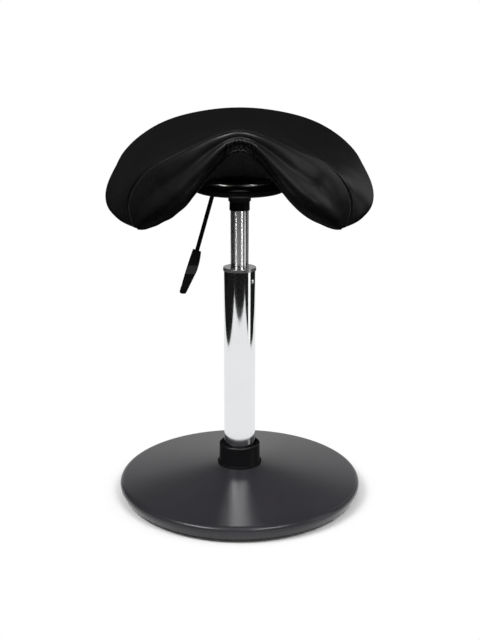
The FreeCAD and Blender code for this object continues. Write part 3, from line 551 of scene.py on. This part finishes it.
@dataclass
class Seat:
    """Padded saddle seat: stitched cover over foam, edge trim, topstitching and underside liner.

    Lengths are millimetres. A roll has its place down the front panel, height and width, each with what it
    gains at the pommel. A gather has its place across, width and share of the depth, and a dent its place
    across, place down the panel, width, reach down the panel and depth.
    """

    form: SaddleForm = field(default_factory=SaddleForm)
    columns: int = 440
    row_counts: tuple[int, int, int, int] = (64, 76, 26, 26)
    row_tightness: tuple[float, float, float, float] = (0.5, 0.5, 0.3, 0.2)
    coarse_columns: int = 96
    coarse_share: float = 0.42
    start_inset: float = 1.2
    cloth_frames: int = 18
    most_swell: float = 1.8
    swell_smoothing: int = 3
    seam_depth: float = 1.2
    rolls: tuple[tuple[tuple[float, float], ...], ...] = (
        ((0.16, 0.13), (1.3, 0.4), (0.075, 0.0)), ((0.43, 0.03), (-3.9, 1.4), (0.105, -0.045)),
        ((0.68, -0.07), (6.0, -2.8), (0.140, -0.055)), ((0.88, -0.08), (-2.2, 0.2), (0.11, 0.0)))
    gather_depth: float = 2.6
    gathers: tuple[Point, ...] = (
        (-19.0, 1.0, 1.1), (-12.5, 0.8, 0.5), (-7.0, 1.0, 0.7), (-1.5, 1.2, 0.8),
        (5.5, 1.1, 0.9), (12.0, 0.7, 0.5), (17.5, 1.1, 0.9), (22.5, 0.8, 0.7))
    dents: tuple[tuple[float, ...], ...] = (
        (-112.0, 0.62, 15.0, 0.10, 1.0), (-88.0, 0.80, 11.0, 0.10, 0.9), (-66.0, 0.70, 9.0, 0.12, 0.6),
        (104.0, 0.84, 18.0, 0.09, 0.9), (84.0, 0.66, 12.0, 0.12, 0.5), (133.0, 0.55, 11.0, 0.14, 0.6))
    trim_radius: float = 1.7
    trim_drop: float = 0.6
    stitch_row: float = 0.93
    stitch_pitch: float = 4.2
    stitch_length: float = 2.9
    stitch_half: tuple[float, float] = (0.5, 0.35)
    stitch_rise: float = 0.15
    liner_grid: tuple[int, int] = (120, 41)
    liner_inset: float = 0.012
    liner_gap: float = 2.0
    liner_sag: float = 10.7
    liner_thickness: float = 1.4

    @staticmethod
    def across(count: int) -> np.ndarray:
        """Places across the seat, closer together at the pommel and at the tips.

        Args:
            count: Number of places.

        Returns:
            The places, from -1 at the left tip to 1 at the right one.
        """
        places = np.linspace(-1.0, 1.0, 2001)
        density = 1.0 + 2.6 * bump(places, 0.0, 0.14) + 0.8 * bump(np.abs(places), 1.0, 0.06)
        filled = np.concatenate([[0.0], np.cumsum((density[1:] + density[:-1]) / 2)])
        return np.interp(np.linspace(0.0, filled[-1], count), filled, places)

    def runs(self, share: float = 1.0) -> list[np.ndarray]:
        """Fractions along the four runs of a section, closer together at the ends of each.

        Args:
            share: Part of the full row counts, for a coarser pad.

        Returns:
            One array for each run, from 0 up to, not including, 1.
        """
        runs = []
        for full, tight in zip(self.row_counts, self.row_tightness):
            count = max(6, round(full * share))
            even = np.arange(count) / count
            runs.append(even * (1 - tight) + (1 - np.cos(math.pi * even)) / 2 * tight)
        return runs

    @staticmethod
    def run_places(runs: list[np.ndarray]) -> np.ndarray:
        """Row parameters: 0..1 front panel, 1..2 top panel, 2..3 back roll, 3..4 underside."""
        return np.concatenate([k + run for k, run in enumerate(runs)])

    @staticmethod
    def normals(points: np.ndarray) -> np.ndarray:
        """Outward normals of a grid whose rows close into a loop.

        Args:
            points: Array of shape (columns, rows, 3).

        Returns:
            Array of the same shape.
        """
        along = np.gradient(points, axis=0)
        round_ = (np.roll(points, -1, axis=1) - np.roll(points, 1, axis=1)) / 2
        normal = np.cross(along, round_)
        return normal / np.maximum(np.linalg.norm(normal, axis=2, keepdims=True), 1e-9)

    def mesh(self, points: np.ndarray, tip_steps: int, tip_rise: float) -> bmesh.types.BMesh:
        """Closed pad from a grid of points, with softly rounded wing tips.

        Args:
            points: Array of shape (columns, rows, 3) in millimetres.
            tip_steps: Rings of faces that close each tip.
            tip_rise: How far a tip stands out, in millimetres.

        Returns:
            The closed mesh.
        """
        work = sheet_of(np.concatenate([points, points[:, :1]], axis=1))
        bmesh.ops.remove_doubles(work, verts=work.verts, dist=1e-6)
        for edges in self.open_loops(work):
            self.close_tip(work, edges, tip_steps, tip_rise)
        bmesh.ops.recalc_face_normals(work, faces=work.faces)
        return work

    @staticmethod
    def open_loops(work: bmesh.types.BMesh) -> list[list[bmesh.types.BMEdge]]:
        """Boundary edges of the left and right tips."""
        border = [e for e in work.edges if e.is_boundary]
        return [[e for e in border if (e.verts[0].co.x > 0) == right] for right in (False, True)]

    @staticmethod
    def close_tip(work: bmesh.types.BMesh, edges: list[bmesh.types.BMEdge], steps: int, rise: float) -> None:
        """Close one open tip with rings that shrink to its middle.

        Args:
            work: Mesh being made.
            edges: Open edges of the tip.
            steps: Number of rings.
            rise: Height of the rounded tip, in millimetres.
        """
        verts = list({v for e in edges for v in e.verts})
        centre = sum((v.co for v in verts), Vector()) / len(verts)
        inner = sum((f.calc_center_median() for v in verts for f in v.link_faces), Vector())
        inner /= sum(len(v.link_faces) for v in verts)
        out = (centre - inner).normalized()
        ring = edges
        size = 1.0
        height = 0.0
        for step in range(1, steps + 1):
            share = step / steps
            new_size = max(0.02, 1.0 - share ** 1.4)
            new_height = rise * math.sin(share * math.pi / 2) * MM
            made = bmesh.ops.extrude_edge_only(work, edges=ring)["geom"]
            moved = [g for g in made if isinstance(g, bmesh.types.BMVert)]
            for vert in moved:
                vert.co = centre + (vert.co - centre - out * height) * (new_size / size) + out * new_height
            ring = [g for g in made if isinstance(g, bmesh.types.BMEdge) and g.is_boundary]
            size, height = new_size, new_height
        bmesh.ops.remove_doubles(work, verts=list({v for e in ring for v in e.verts}), dist=0.002)

    def settled(self, start: np.ndarray, free: np.ndarray) -> np.ndarray:
        """Blow up a coarse pad as cloth.

        Args:
            start: Grid of its points before, in millimetres.
            free: 1 at each point that may move and 0 at one that is held.

        Returns:
            Grid of its points after, in millimetres.
        """
        pad = object_of("pad_trial", self.mesh(start, 4, 2.0))
        mesh = pad.data
        tree = KDTree(len(mesh.vertices))
        for vert in mesh.vertices:
            tree.insert(vert.co, vert.index)
        tree.balance()
        order = [tree.find(Vector(point) * MM)[1] for point in start.reshape(-1, 3)]
        held = pad.vertex_groups.new(name="held")
        held.add(list(range(len(mesh.vertices))), 1.0, "REPLACE")
        for index, weight in zip(order, (1 - free).ravel()):
            held.add([index], float(weight), "REPLACE")
        cloth = pad.modifiers.new("cover", "CLOTH")
        for name, value in COVER_CLOTH.items():
            setattr(cloth.settings, name, value)
        cloth.settings.effector_weights.gravity = 0.0
        cloth.collision_settings.use_self_collision = False
        cloth.point_cache.frame_end = self.cloth_frames
        scene = bpy.context.scene
        for number in range(1, self.cloth_frames + 1):
            scene.frame_set(number)
        after = pad.evaluated_get(bpy.context.evaluated_depsgraph_get()).to_mesh()
        places = np.zeros(len(mesh.vertices) * 3)
        after.vertices.foreach_get("co", places)
        scene.frame_set(1)
        bpy.data.objects.remove(pad)
        return places.reshape(-1, 3)[order].reshape(start.shape) / MM

    def swelling(self) -> tuple[np.ndarray, np.ndarray, np.ndarray]:
        """How far the air-filled cover moves off the plain form.

        Returns:
            Places across, row places and the movement at each, in millimetres.
        """
        across = np.linspace(-1.0, 1.0, self.coarse_columns)
        runs = self.runs(self.coarse_share)
        rows = self.run_places(runs)
        plain = self.form.grid(across, runs)
        normal = self.normals(plain)
        free = self.free_share(across, rows)
        offset = self.settled(plain - normal * self.start_inset * free[:, :, None], free) - plain
        rise = np.clip((offset * normal).sum(axis=2), -self.most_swell, self.most_swell)
        rise = (rise + rise[::-1]) / 2
        for _ in range(self.swell_smoothing):
            rise[1:-1] = (rise[:-2] + 2 * rise[1:-1] + rise[2:]) / 4
            rise = (np.roll(rise, 1, axis=1) + 2 * rise + np.roll(rise, -1, axis=1)) / 4
        rise *= free
        LOG.info("cover settled, mean move %.2f mm", float(np.abs(rise).mean()))
        return across, rows, normal * rise[:, :, None]

    @staticmethod
    def free_share(across: np.ndarray, rows: np.ndarray) -> np.ndarray:
        """Where the cover may swell.

        Args:
            across: Places across the seat.
            rows: Row places.

        Returns:
            1 at each grid point that is free, 0 at the seams, edges and underside.
        """
        front = np.clip(np.minimum(rows, 1 - rows) * 5, 0, 1) * (rows < 1)
        top = np.clip(np.minimum(rows - 1, 2.6 - rows) * 6, 0, 1) * (rows >= 1) * (rows < 2.6)
        along = np.clip((1 - np.abs(across)) * 12, 0, 1)
        return along[:, None] * np.clip(front + top, 0, 1)[None, :]

    def moved_by_swelling(self, across: np.ndarray, rows: np.ndarray) -> np.ndarray:
        """Cloth movement read at a finer grid.

        Args:
            across: Places across the seat.
            rows: Row places.

        Returns:
            Movement at each grid point, in millimetres.
        """
        from_across, from_rows, offset = self.swelling()
        from_rows = np.concatenate([from_rows, [4.0]])
        offset = np.concatenate([offset, offset[:, :1]], axis=1)
        by_row = np.stack([np.stack([np.interp(rows, from_rows, line[:, k]) for k in range(3)], axis=-1)
                           for line in offset])
        return spline(from_across, by_row.reshape(len(from_across), -1), across).reshape(len(across), -1, 3)

    def details(self, points: np.ndarray, rows: np.ndarray) -> np.ndarray:
        """Height of the seam, rolls, gathers and creases along the normal.

        Args:
            points: Grid of the plain surface, in millimetres.
            rows: Row places.

        Returns:
            Height at each grid point, in millimetres.
        """
        off_panel, off_top = 9.0, 99.0
        top_length = 150.0
        x = points[:, :, 0]
        side = np.abs(x)
        row = np.broadcast_to(rows[None, :], x.shape)
        panel = np.where(row < 1.0, 1.0 - row, off_panel)
        panel_length = 39.0 + np.interp(side, (0, 42, 87, 126), (0, 11, 38, 51))
        below = panel * panel_length
        above = np.where((row >= 1.0) & (row < 2.0), (row - 1.0) * top_length, off_top)
        height = -self.seam_depth * bump(np.minimum(below, above), 0.0, 1.2) + 0.5 * bump(above, 4.0, 2.6)
        fade = 1 - ease(side, 110, 165)
        near = 1 - ease(side, 15, 48)
        for roll in self.rolls:
            place, rise, width = (away + gain * near for away, gain in roll)
            height += fade * rise * bump(panel, place, width)
        return height + self.gathered(x, panel) + self.creased(points, row, panel)

    def gathered(self, x: np.ndarray, panel: np.ndarray) -> np.ndarray:
        """Small pleats at the pommel's lower edge, leaning outwards, each with a low roll beside it.

        Args:
            x: Place across, in millimetres.
            panel: 0 at the seam and 1 at the lower edge of the front panel.

        Returns:
            Height, in millimetres.
        """
        height = np.zeros(x.shape)
        reach = ease(panel, 0.50, 0.64) * (1 - ease(panel, 1.2, 1.4))
        for place, width, depth in self.gathers:
            lean = place * (0.72 + 0.34 * panel)
            height -= self.gather_depth * depth * bump(x, lean, 1.15 * width) * reach
            height += 0.7 * depth * bump(x, lean + 2.6, 1.5) * reach
        return height

    def creased(self, points: np.ndarray, row: np.ndarray, panel: np.ndarray) -> np.ndarray:
        """Shallow dents and waves of a stretched cover.

        Args:
            points: Grid of the plain surface, in millimetres.
            row: Row place at each point.
            panel: 0 at the seam and 1 at the lower edge of the front panel.

        Returns:
            Height, in millimetres.
        """
        x, y, z = (points[:, :, k] for k in range(3))
        low = ease(panel, 0.55, 0.95) * (panel < 1.5)
        wave = np.sin(0.115 * x + 0.9 * np.sin(0.04 * z)) * np.sin(0.051 * x - 0.07 * y + 1.3)
        height = 0.8 * wave * low * ease(np.abs(x), 40, 80)
        for place, share, width, reach, depth in self.dents:
            height -= depth * bump(x, place, width) * bump(panel, share, reach)
        top = (row > 1.08) & (row < 1.95)
        ripple = np.sin(0.033 * x + 0.02 * y) * np.sin(0.041 * y - 0.013 * x + 0.7)
        return height + np.where(top, 0.35 * ripple, 0.0)

    def surface(self) -> tuple[np.ndarray, np.ndarray]:
        """Finished cover grid.

        Returns:
            Row places and the points in millimetres.
        """
        across = self.across(self.columns)
        runs = self.runs()
        rows = self.run_places(runs)
        plain = self.form.grid(across, runs)
        points = plain + self.moved_by_swelling(across, rows)
        fade = np.clip((1 - np.abs(across)) * 25, 0, 1)[:, None]
        return rows, points + self.normals(plain) * (self.details(plain, rows) * fade)[:, :, None]

    def cushion(self, points: np.ndarray) -> bpy.types.Object:
        """Stitched cushion cover.

        Args:
            points: Grid of the cover, in millimetres.

        Returns:
            The new piece.
        """
        piece = seat_piece("saddle_cover", self.mesh(points, 8, 3.0), LEATHERETTE)
        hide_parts("seat_cushion")
        return piece

    def edge_trim(self, points: np.ndarray, rows: np.ndarray) -> bpy.types.Object:
        """Black strip along the cushion's lower edge, round both wings.

        Args:
            points: Grid of the cover, in millimetres.
            rows: Row places.

        Returns:
            The new piece.
        """
        front = points[:, 0]
        back = points[::-1, int(np.argmin(np.abs(rows - 3.0)))]
        every_other = slice(2, -2, 2)
        path = np.vstack([front[every_other], back[every_other]]) + np.array([0.0, 0.0, -self.trim_drop])
        curve = bpy.data.curves.new("edge_trim", "CURVE")
        curve.dimensions = "3D"
        curve.bevel_depth = self.trim_radius * MM
        curve.bevel_resolution = 1
        line = curve.splines.new("POLY")
        line.points.add(len(path) - 1)
        for point, place in zip(line.points, path):
            point.co = (*(place * MM), 1.0)
        line.use_cyclic_u = True
        holder = bpy.data.objects.new("edge_trim_line", curve)
        bpy.context.scene.collection.objects.link(holder)
        work = bmesh.new()
        work.from_mesh(evaluated_mesh(holder))
        bpy.data.objects.remove(holder)
        bmesh.ops.remove_doubles(work, verts=work.verts, dist=1e-6)
        bmesh.ops.recalc_face_normals(work, faces=work.faces)
        return seat_piece("edge_trim", work, PIPING)

    def topstitches(self, points: np.ndarray, rows: np.ndarray) -> bpy.types.Object:
        """Row of single stitches beside the front seam.

        Args:
            points: Grid of the cover, in millimetres.
            rows: Row places.

        Returns:
            The new piece.
        """
        row = int(np.argmin(np.abs(rows - self.stitch_row)))
        out = self.normals(points)[:, row]
        line = points[:, row] + out * self.stitch_rise
        run = np.concatenate([[0.0], np.cumsum(np.linalg.norm(np.diff(line, axis=0), axis=1))])
        size = Matrix.Diagonal((self.stitch_length / 2 * MM, *(half * MM for half in self.stitch_half), 1.0))
        work = bmesh.new()
        first_stitch, end_gap = 2.0, 4.0
        for start in np.arange(first_stitch, run[-1] - end_gap, self.stitch_pitch):
            first, last = (np.array([np.interp(s, run, line[:, k]) for k in range(3)])
                           for s in (start, start + self.stitch_length))
            normal = np.array([np.interp(start, run, out[:, k]) for k in range(3)])
            along = Vector(last - first).normalized()
            across = Vector(normal).normalized().cross(along).normalized()
            turn = Matrix((along, across, along.cross(across))).transposed().to_4x4()
            place = Matrix.Translation(Vector((first + last) / 2) * MM) @ turn @ size
            bmesh.ops.create_icosphere(work, subdivisions=1, radius=1.0, matrix=place)
        return seat_piece("seam_topstitches", work, THREAD)

    def liner(self) -> bpy.types.Object:
        """Felt liner under the seat, with a fold down its middle."""
        columns, count = self.liner_grid
        last = len(self.form.crown) - 1
        sections = []
        for station in range(-last + 1, last):
            edge, back, under = (self.form.rail(rail, station) for rail in (
                self.form.front_edge, self.form.back_edge, self.form.underside))
            out = under - (edge + back) / 2
            out /= np.linalg.norm(out)
            inset = (back - edge) * self.liner_inset
            gap = out * self.liner_gap
            sections.append(arc_points(edge + inset + gap, under + out * self.liner_sag, back - inset + gap,
                                       np.linspace(0.0, 1.0, count)))
        points = self.form.joined(sections, np.linspace(-1, 1, columns))
        x, y = points[:, :, 0], points[:, :, 1]
        fold = -2.2 * bump(x, 1.5, 1.4) + 1.2 * bump(x, 5.0, 2.4)
        points[:, :, 2] += fold * (1 - ease(y, -80, -60)) * ease(y, -158, -135)
        work = sheet_of(points)
        bmesh.ops.recalc_face_normals(work, faces=work.faces)
        piece = seat_piece("seat_liner", work, LINER_CLOTH)
        wall = piece.modifiers.new("wall", "SOLIDIFY")
        wall.thickness = self.liner_thickness * MM
        wall.offset = 0.0
        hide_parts("underside_liner")
        return piece

    def build(self) -> None:
        """Make every piece of the seat."""
        rows, points = self.surface()
        for piece in (self.cushion(points), self.edge_trim(points, rows), self.topstitches(points, rows),
                      self.liner()):
            LOG.info("made %s", piece.name)


@dataclass
class Dish:
    """Glossy pot under the seat: satin floor, rounded shoulder, lid and the lever's slot."""

    low: float = 487.5
    bore: float = 17.6
    floor_radius: float = 42.0
    radius: float = 71.0
    bilge_rise: float = 9.0
    shoulder: tuple[float, float] = (10.5, 13.0)
    lid_bore: float = 50.0
    wall: float = 2.4
    slot_ends: tuple[float, float] = (-49.2, -34.6)
    slot_width: float = 8.5
    slot_height: float = 14.0
    steps: int = 180
    sharp: float = 35.0

    def outline(self) -> list[tuple[float, float]]:
        """Closed profile as radius and height, in millimetres."""
        turns = np.radians(np.linspace(0.0, 90.0, 15))
        bilge = self.low + self.bilge_rise
        reach, rise = self.shoulder
        outer = [(self.bore, self.low)]
        outer += [(self.floor_radius + (self.radius - self.floor_radius) * math.sin(t),
                   bilge - self.bilge_rise * math.cos(t)) for t in turns]
        outer += [(self.radius - reach * (1 - math.cos(t)), bilge + rise * math.sin(t)) for t in turns[1:]]
        top = bilge + rise
        outer += [(self.lid_bore + out, top + up) for out, up in ((2.5, 1.0), (0.6, 0.8), (0.0, 0.2))]
        inner = [(self.lid_bore, top - self.wall), (self.radius - reach - 1.0, top - self.wall),
                 (self.radius - self.wall - 2.0, bilge + rise * 0.6), (self.radius - self.wall, bilge),
                 (self.radius - self.wall - 6.0, bilge - 3.0), (self.floor_radius, self.low + self.wall),
                 (self.bore, self.low + self.wall)]
        return outer + inner

    def slot_tool(self) -> bpy.types.Object:
        """Block that cuts the lever's slot."""
        left, right = self.slot_ends
        size = (right - left, self.slot_width, self.slot_height)
        place = Matrix.Translation(((left + right) / 2 * MM, 0.0, self.low * MM))
        work = bmesh.new()
        bmesh.ops.create_cube(work, size=1.0, matrix=place @ Matrix.Diagonal((*(n * MM for n in size), 1.0)))
        return object_of("slot_tool", work)

    def build(self) -> None:
        """Spin the pot, cut the slot and give the floor and the lid's rim their satin finish."""
        work = bmesh.new()
        ring = [work.verts.new((radius * MM, 0.0, height * MM)) for radius, height in self.outline()]
        edges = [work.edges.new((a, b)) for a, b in zip(ring, ring[1:] + ring[:1])]
        bmesh.ops.spin(work, geom=ring + edges, cent=(0, 0, 0), axis=(0, 0, 1), angle=2 * math.pi,
                       steps=self.steps, use_merge=True, use_duplicate=False)
        bmesh.ops.recalc_face_normals(work, faces=work.faces)
        pot = seat_piece("mechanism_dish", work, DISH_BLACK)
        cut = pot.modifiers.new("slot", "BOOLEAN")
        cut.object = self.slot_tool()
        cut.operation = "DIFFERENCE"
        bpy.context.view_layer.update()
        shaped = evaluated_mesh(pot)
        bpy.data.objects.remove(cut.object)
        pot.modifiers.clear()
        pot.data = shaped
        shaped.materials.append(DISH_SATIN.material())
        satin_top = (self.low + self.bilge_rise * 1.15) * MM
        satin_rim = (self.lid_bore + 4.0) * MM
        for face in shaped.polygons:
            face.use_smooth = True
            if face.center.z < satin_top or face.center.xy.length < satin_rim:
                face.material_index = len(shaped.materials) - 1
        shaped.set_sharp_from_angle(angle=math.radians(self.sharp))
        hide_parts("mechanism_cover")
        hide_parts("dish_lid")
        LOG.info("made %s", pot.name)


def light_group(name: str, pieces: tuple[str, ...]) -> bpy.types.Collection:
    """Collection of the pieces that one light reaches.

    Args:
        name: Name of the collection.
        pieces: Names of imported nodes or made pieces.

    Returns:
        The collection.
    """
    chosen = bpy.data.collections.new(name)
    for piece in pieces:
        chosen.objects.link(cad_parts[piece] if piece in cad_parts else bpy.data.objects[piece])
    return chosen


@dataclass(frozen=True)
class Lamp:
    """Soft box that looks at a height on the column, in metres, degrees and watts.

    Its azimuth runs from the front towards +X. It lights the pieces named in only, or all where none is. One
    that shines through points straight down, and nothing blocks its light.
    """

    name: str
    azimuth: float
    height: float
    distance: float
    size: tuple[float, float]
    power: float
    target: float = 0.35
    only: tuple[str, ...] = ()
    through: bool = False

    def build(self) -> None:
        """Hang the lamp."""
        data = bpy.data.lights.new(self.name, "AREA")
        data.shape = "RECTANGLE"
        data.size, data.size_y = self.size
        data.energy = self.power
        holder = bpy.data.objects.new(self.name, data)
        angle = math.radians(self.azimuth)
        place = Vector((self.distance * math.sin(angle), -self.distance * math.cos(angle), self.height))
        holder.location = place
        holder.rotation_euler = (Vector((0, 0, self.target)) - place).to_track_quat("-Z", "Y").to_euler()
        holder.visible_camera = False
        bpy.context.scene.collection.objects.link(holder)
        if self.only:
            holder.light_linking.receiver_collection = light_group(self.name + "_pieces", self.only)
        if self.through:
            holder.rotation_euler = (0.0, 0.0, 0.0)
            data.use_shadow = False
            data.cycles.use_multiple_importance_sampling = False


LAMPS = (
    Lamp("front_left_box", -46.0, 1.80, 1.6, (0.90, 0.50), 30.0),
    Lamp("front_right_box", 31.0, 1.80, 1.6, (0.90, 0.50), 21.0),
    Lamp("right_card", 74.0, 0.40, 1.2, (0.37, 1.0), 1.3),
    Lamp("back_right_card", 122.0, 0.75, 1.6, (1.0, 1.0), 1.3),
    Lamp("front_card", 0.0, 1.75, 2.3, (2.0, 0.8), 2.0),
    Lamp("left_strip", -46.0, 0.85, 1.6, (0.15, 0.80), 7.0, only=("gas_cylinder",)),
    Lamp("right_strip", 31.0, 0.85, 1.6, (0.15, 0.80), 9.0, only=("gas_cylinder",)),
    Lamp("backdrop_card", 180.0, 0.48, 1.9, (3.2, 1.0), 7.0, 0.1, ("base_cover", "column_cap")),
    Lamp("dish_left_card", -137.5, 1.39, 0.407, (0.11, 0.36), 3.2, 0.508, ("mechanism_dish",), True),
    Lamp("dish_right_card", 146.3, 1.39, 0.36, (0.14, 0.36), 4.0, 0.508, ("mechanism_dish",), True),
    Lamp("top_box", 0.0, 2.1, 0.6, (1.1, 0.8), 3.5),
)


@dataclass
class Studio:
    """White floor, reflected sheet, world, lamps and the camera."""

    camera_place: Point = (0.0006, -1.432, 0.675)
    camera_pitch: float = 74.9
    lens: float = 52.83
    sensor: float = 36.0
    floor_half: float = 6.0
    floor_white: float = 0.93
    sheet_half: tuple[float, float] = (0.87, 1.6)
    sheet_front: float = -1.12
    sheet_drop: float = 0.002
    sheet_glow: float = 0.90
    shadow_radius: tuple[float, float] = (0.190, 0.240)
    world_fill: float = 0.35
    world_reflected: float = 0.010
    mirrors: tuple[str, ...] = ("column_tube", "gas_cylinder", "base_cover")

    def camera(self) -> None:
        """Camera at the fitted viewpoint."""
        data = bpy.data.cameras.new("view")
        data.lens = self.lens
        data.sensor_width = self.sensor
        holder = bpy.data.objects.new("view", data)
        holder.location = self.camera_place
        holder.rotation_euler = (math.radians(self.camera_pitch), 0.0, 0.0)
        bpy.context.scene.collection.objects.link(holder)
        bpy.context.scene.camera = holder

    @staticmethod
    def panel(name: str, place: Point, half: tuple[float, float],
              material: bpy.types.Material) -> bpy.types.Object:
        """Level rectangle of the stage.

        Args:
            name: Name of the object.
            place: Its middle.
            half: Half width and half depth.
            material: Its material.

        Returns:
            The new object.
        """
        work = bmesh.new()
        bmesh.ops.create_grid(work, x_segments=1, y_segments=1, size=1.0,
                              matrix=Matrix.Translation(place) @ Matrix.Diagonal((*half, 1.0, 1.0)))
        sheet = object_of(name, work)
        sheet.data.materials.append(material)
        return sheet

    def floor(self) -> None:
        """Pale floor that keeps the stool's shadow, and turns plain white to the camera away from it."""
        material = new_material("pale_floor")
        tree = Tree(material.node_tree)
        pale = tree.out("ShaderNodeBsdfDiffuse", {"Color": (*(self.floor_white,) * 3, 1.0)})
        clear = tree.out("ShaderNodeEmission", {"Strength": 1.0})
        place = tree.add("ShaderNodeTexCoord").outputs["Object"]
        reach = tree.add("ShaderNodeVectorMath", {0: place}, operation="LENGTH").outputs["Value"]
        limits = {"From Min": self.shadow_radius[0], "From Max": self.shadow_radius[1]}
        far = tree.out("ShaderNodeMapRange", {"Value": reach, **limits}, interpolation_type="SMOOTHSTEP")
        camera = tree.add("ShaderNodeLightPath").outputs["Is Camera Ray"]
        seen = tree.out("ShaderNodeMath", {0: camera, 1: far}, operation="MULTIPLY")
        both = tree.out("ShaderNodeMixShader", {0: seen, 1: pale, 2: clear})
        tree.add("ShaderNodeOutputMaterial", {"Surface": both})
        floor = self.panel("floor", (0.0, 0.0, 0.0), (self.floor_half, self.floor_half), material)
        floor.visible_glossy = False

    def white_sheet(self) -> None:
        """Glowing sheet below the floor that only the metal and the base's gloss reflect."""
        material = new_material("white_sheet_glow")
        tree = Tree(material.node_tree)
        tree.add("ShaderNodeOutputMaterial", {
            "Surface": tree.out("ShaderNodeEmission", {"Strength": self.sheet_glow})})
        middle = (0.0, self.sheet_front + self.sheet_half[1], -self.sheet_drop)
        sheet = self.panel("white_sheet", middle, self.sheet_half, material)
        for kind in ("visible_camera", "visible_diffuse", "visible_shadow", "visible_transmission"):
            setattr(sheet, kind, False)
        sheet.light_linking.receiver_collection = light_group("mirrors", self.mirrors)

    def world(self) -> None:
        """White to the camera, soft grey as fill, dark to reflections."""
        world = bpy.data.worlds.new("studio")
        bpy.context.scene.world = world
        world.use_nodes = True
        tree = Tree(world.node_tree)
        ray = tree.add("ShaderNodeLightPath").outputs
        fill, seen, dark = (tree.out("ShaderNodeBackground", {"Color": WHITE, "Strength": strength})
                            for strength in (self.world_fill, 1.0, self.world_reflected))
        lit = tree.out("ShaderNodeMixShader", {0: ray["Is Glossy Ray"], 1: fill, 2: dark})
        shown = tree.out("ShaderNodeMixShader", {0: ray["Is Camera Ray"], 1: lit, 2: seen})
        tree.add("ShaderNodeOutputWorld", {"Surface": shown})

    def build(self) -> None:
        """Make the studio."""
        self.camera()
        self.floor()
        self.white_sheet()
        self.world()
        for lamp in LAMPS:
            lamp.build()
        bpy.context.scene.view_settings.view_transform = "Standard"


def dress_nodes() -> None:
    """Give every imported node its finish."""
    for finish, names in FINISHED_NODES.items():
        for name in names:
            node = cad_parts[name]
            if node.material_slots:
                for place in node.material_slots:
                    place.material = finish.material()
            else:
                node.data.materials.append(finish.material())
            LOG.info("dressed %s", name)


def main() -> None:
    """Build the looks of the whole stool."""
    logging.basicConfig(level=logging.INFO, format="%(name)s %(message)s")
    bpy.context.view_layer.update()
    dress_nodes()
    Seat().build()
    Dish().build()
    Studio().build()


if __name__ == "__main__":
    main()
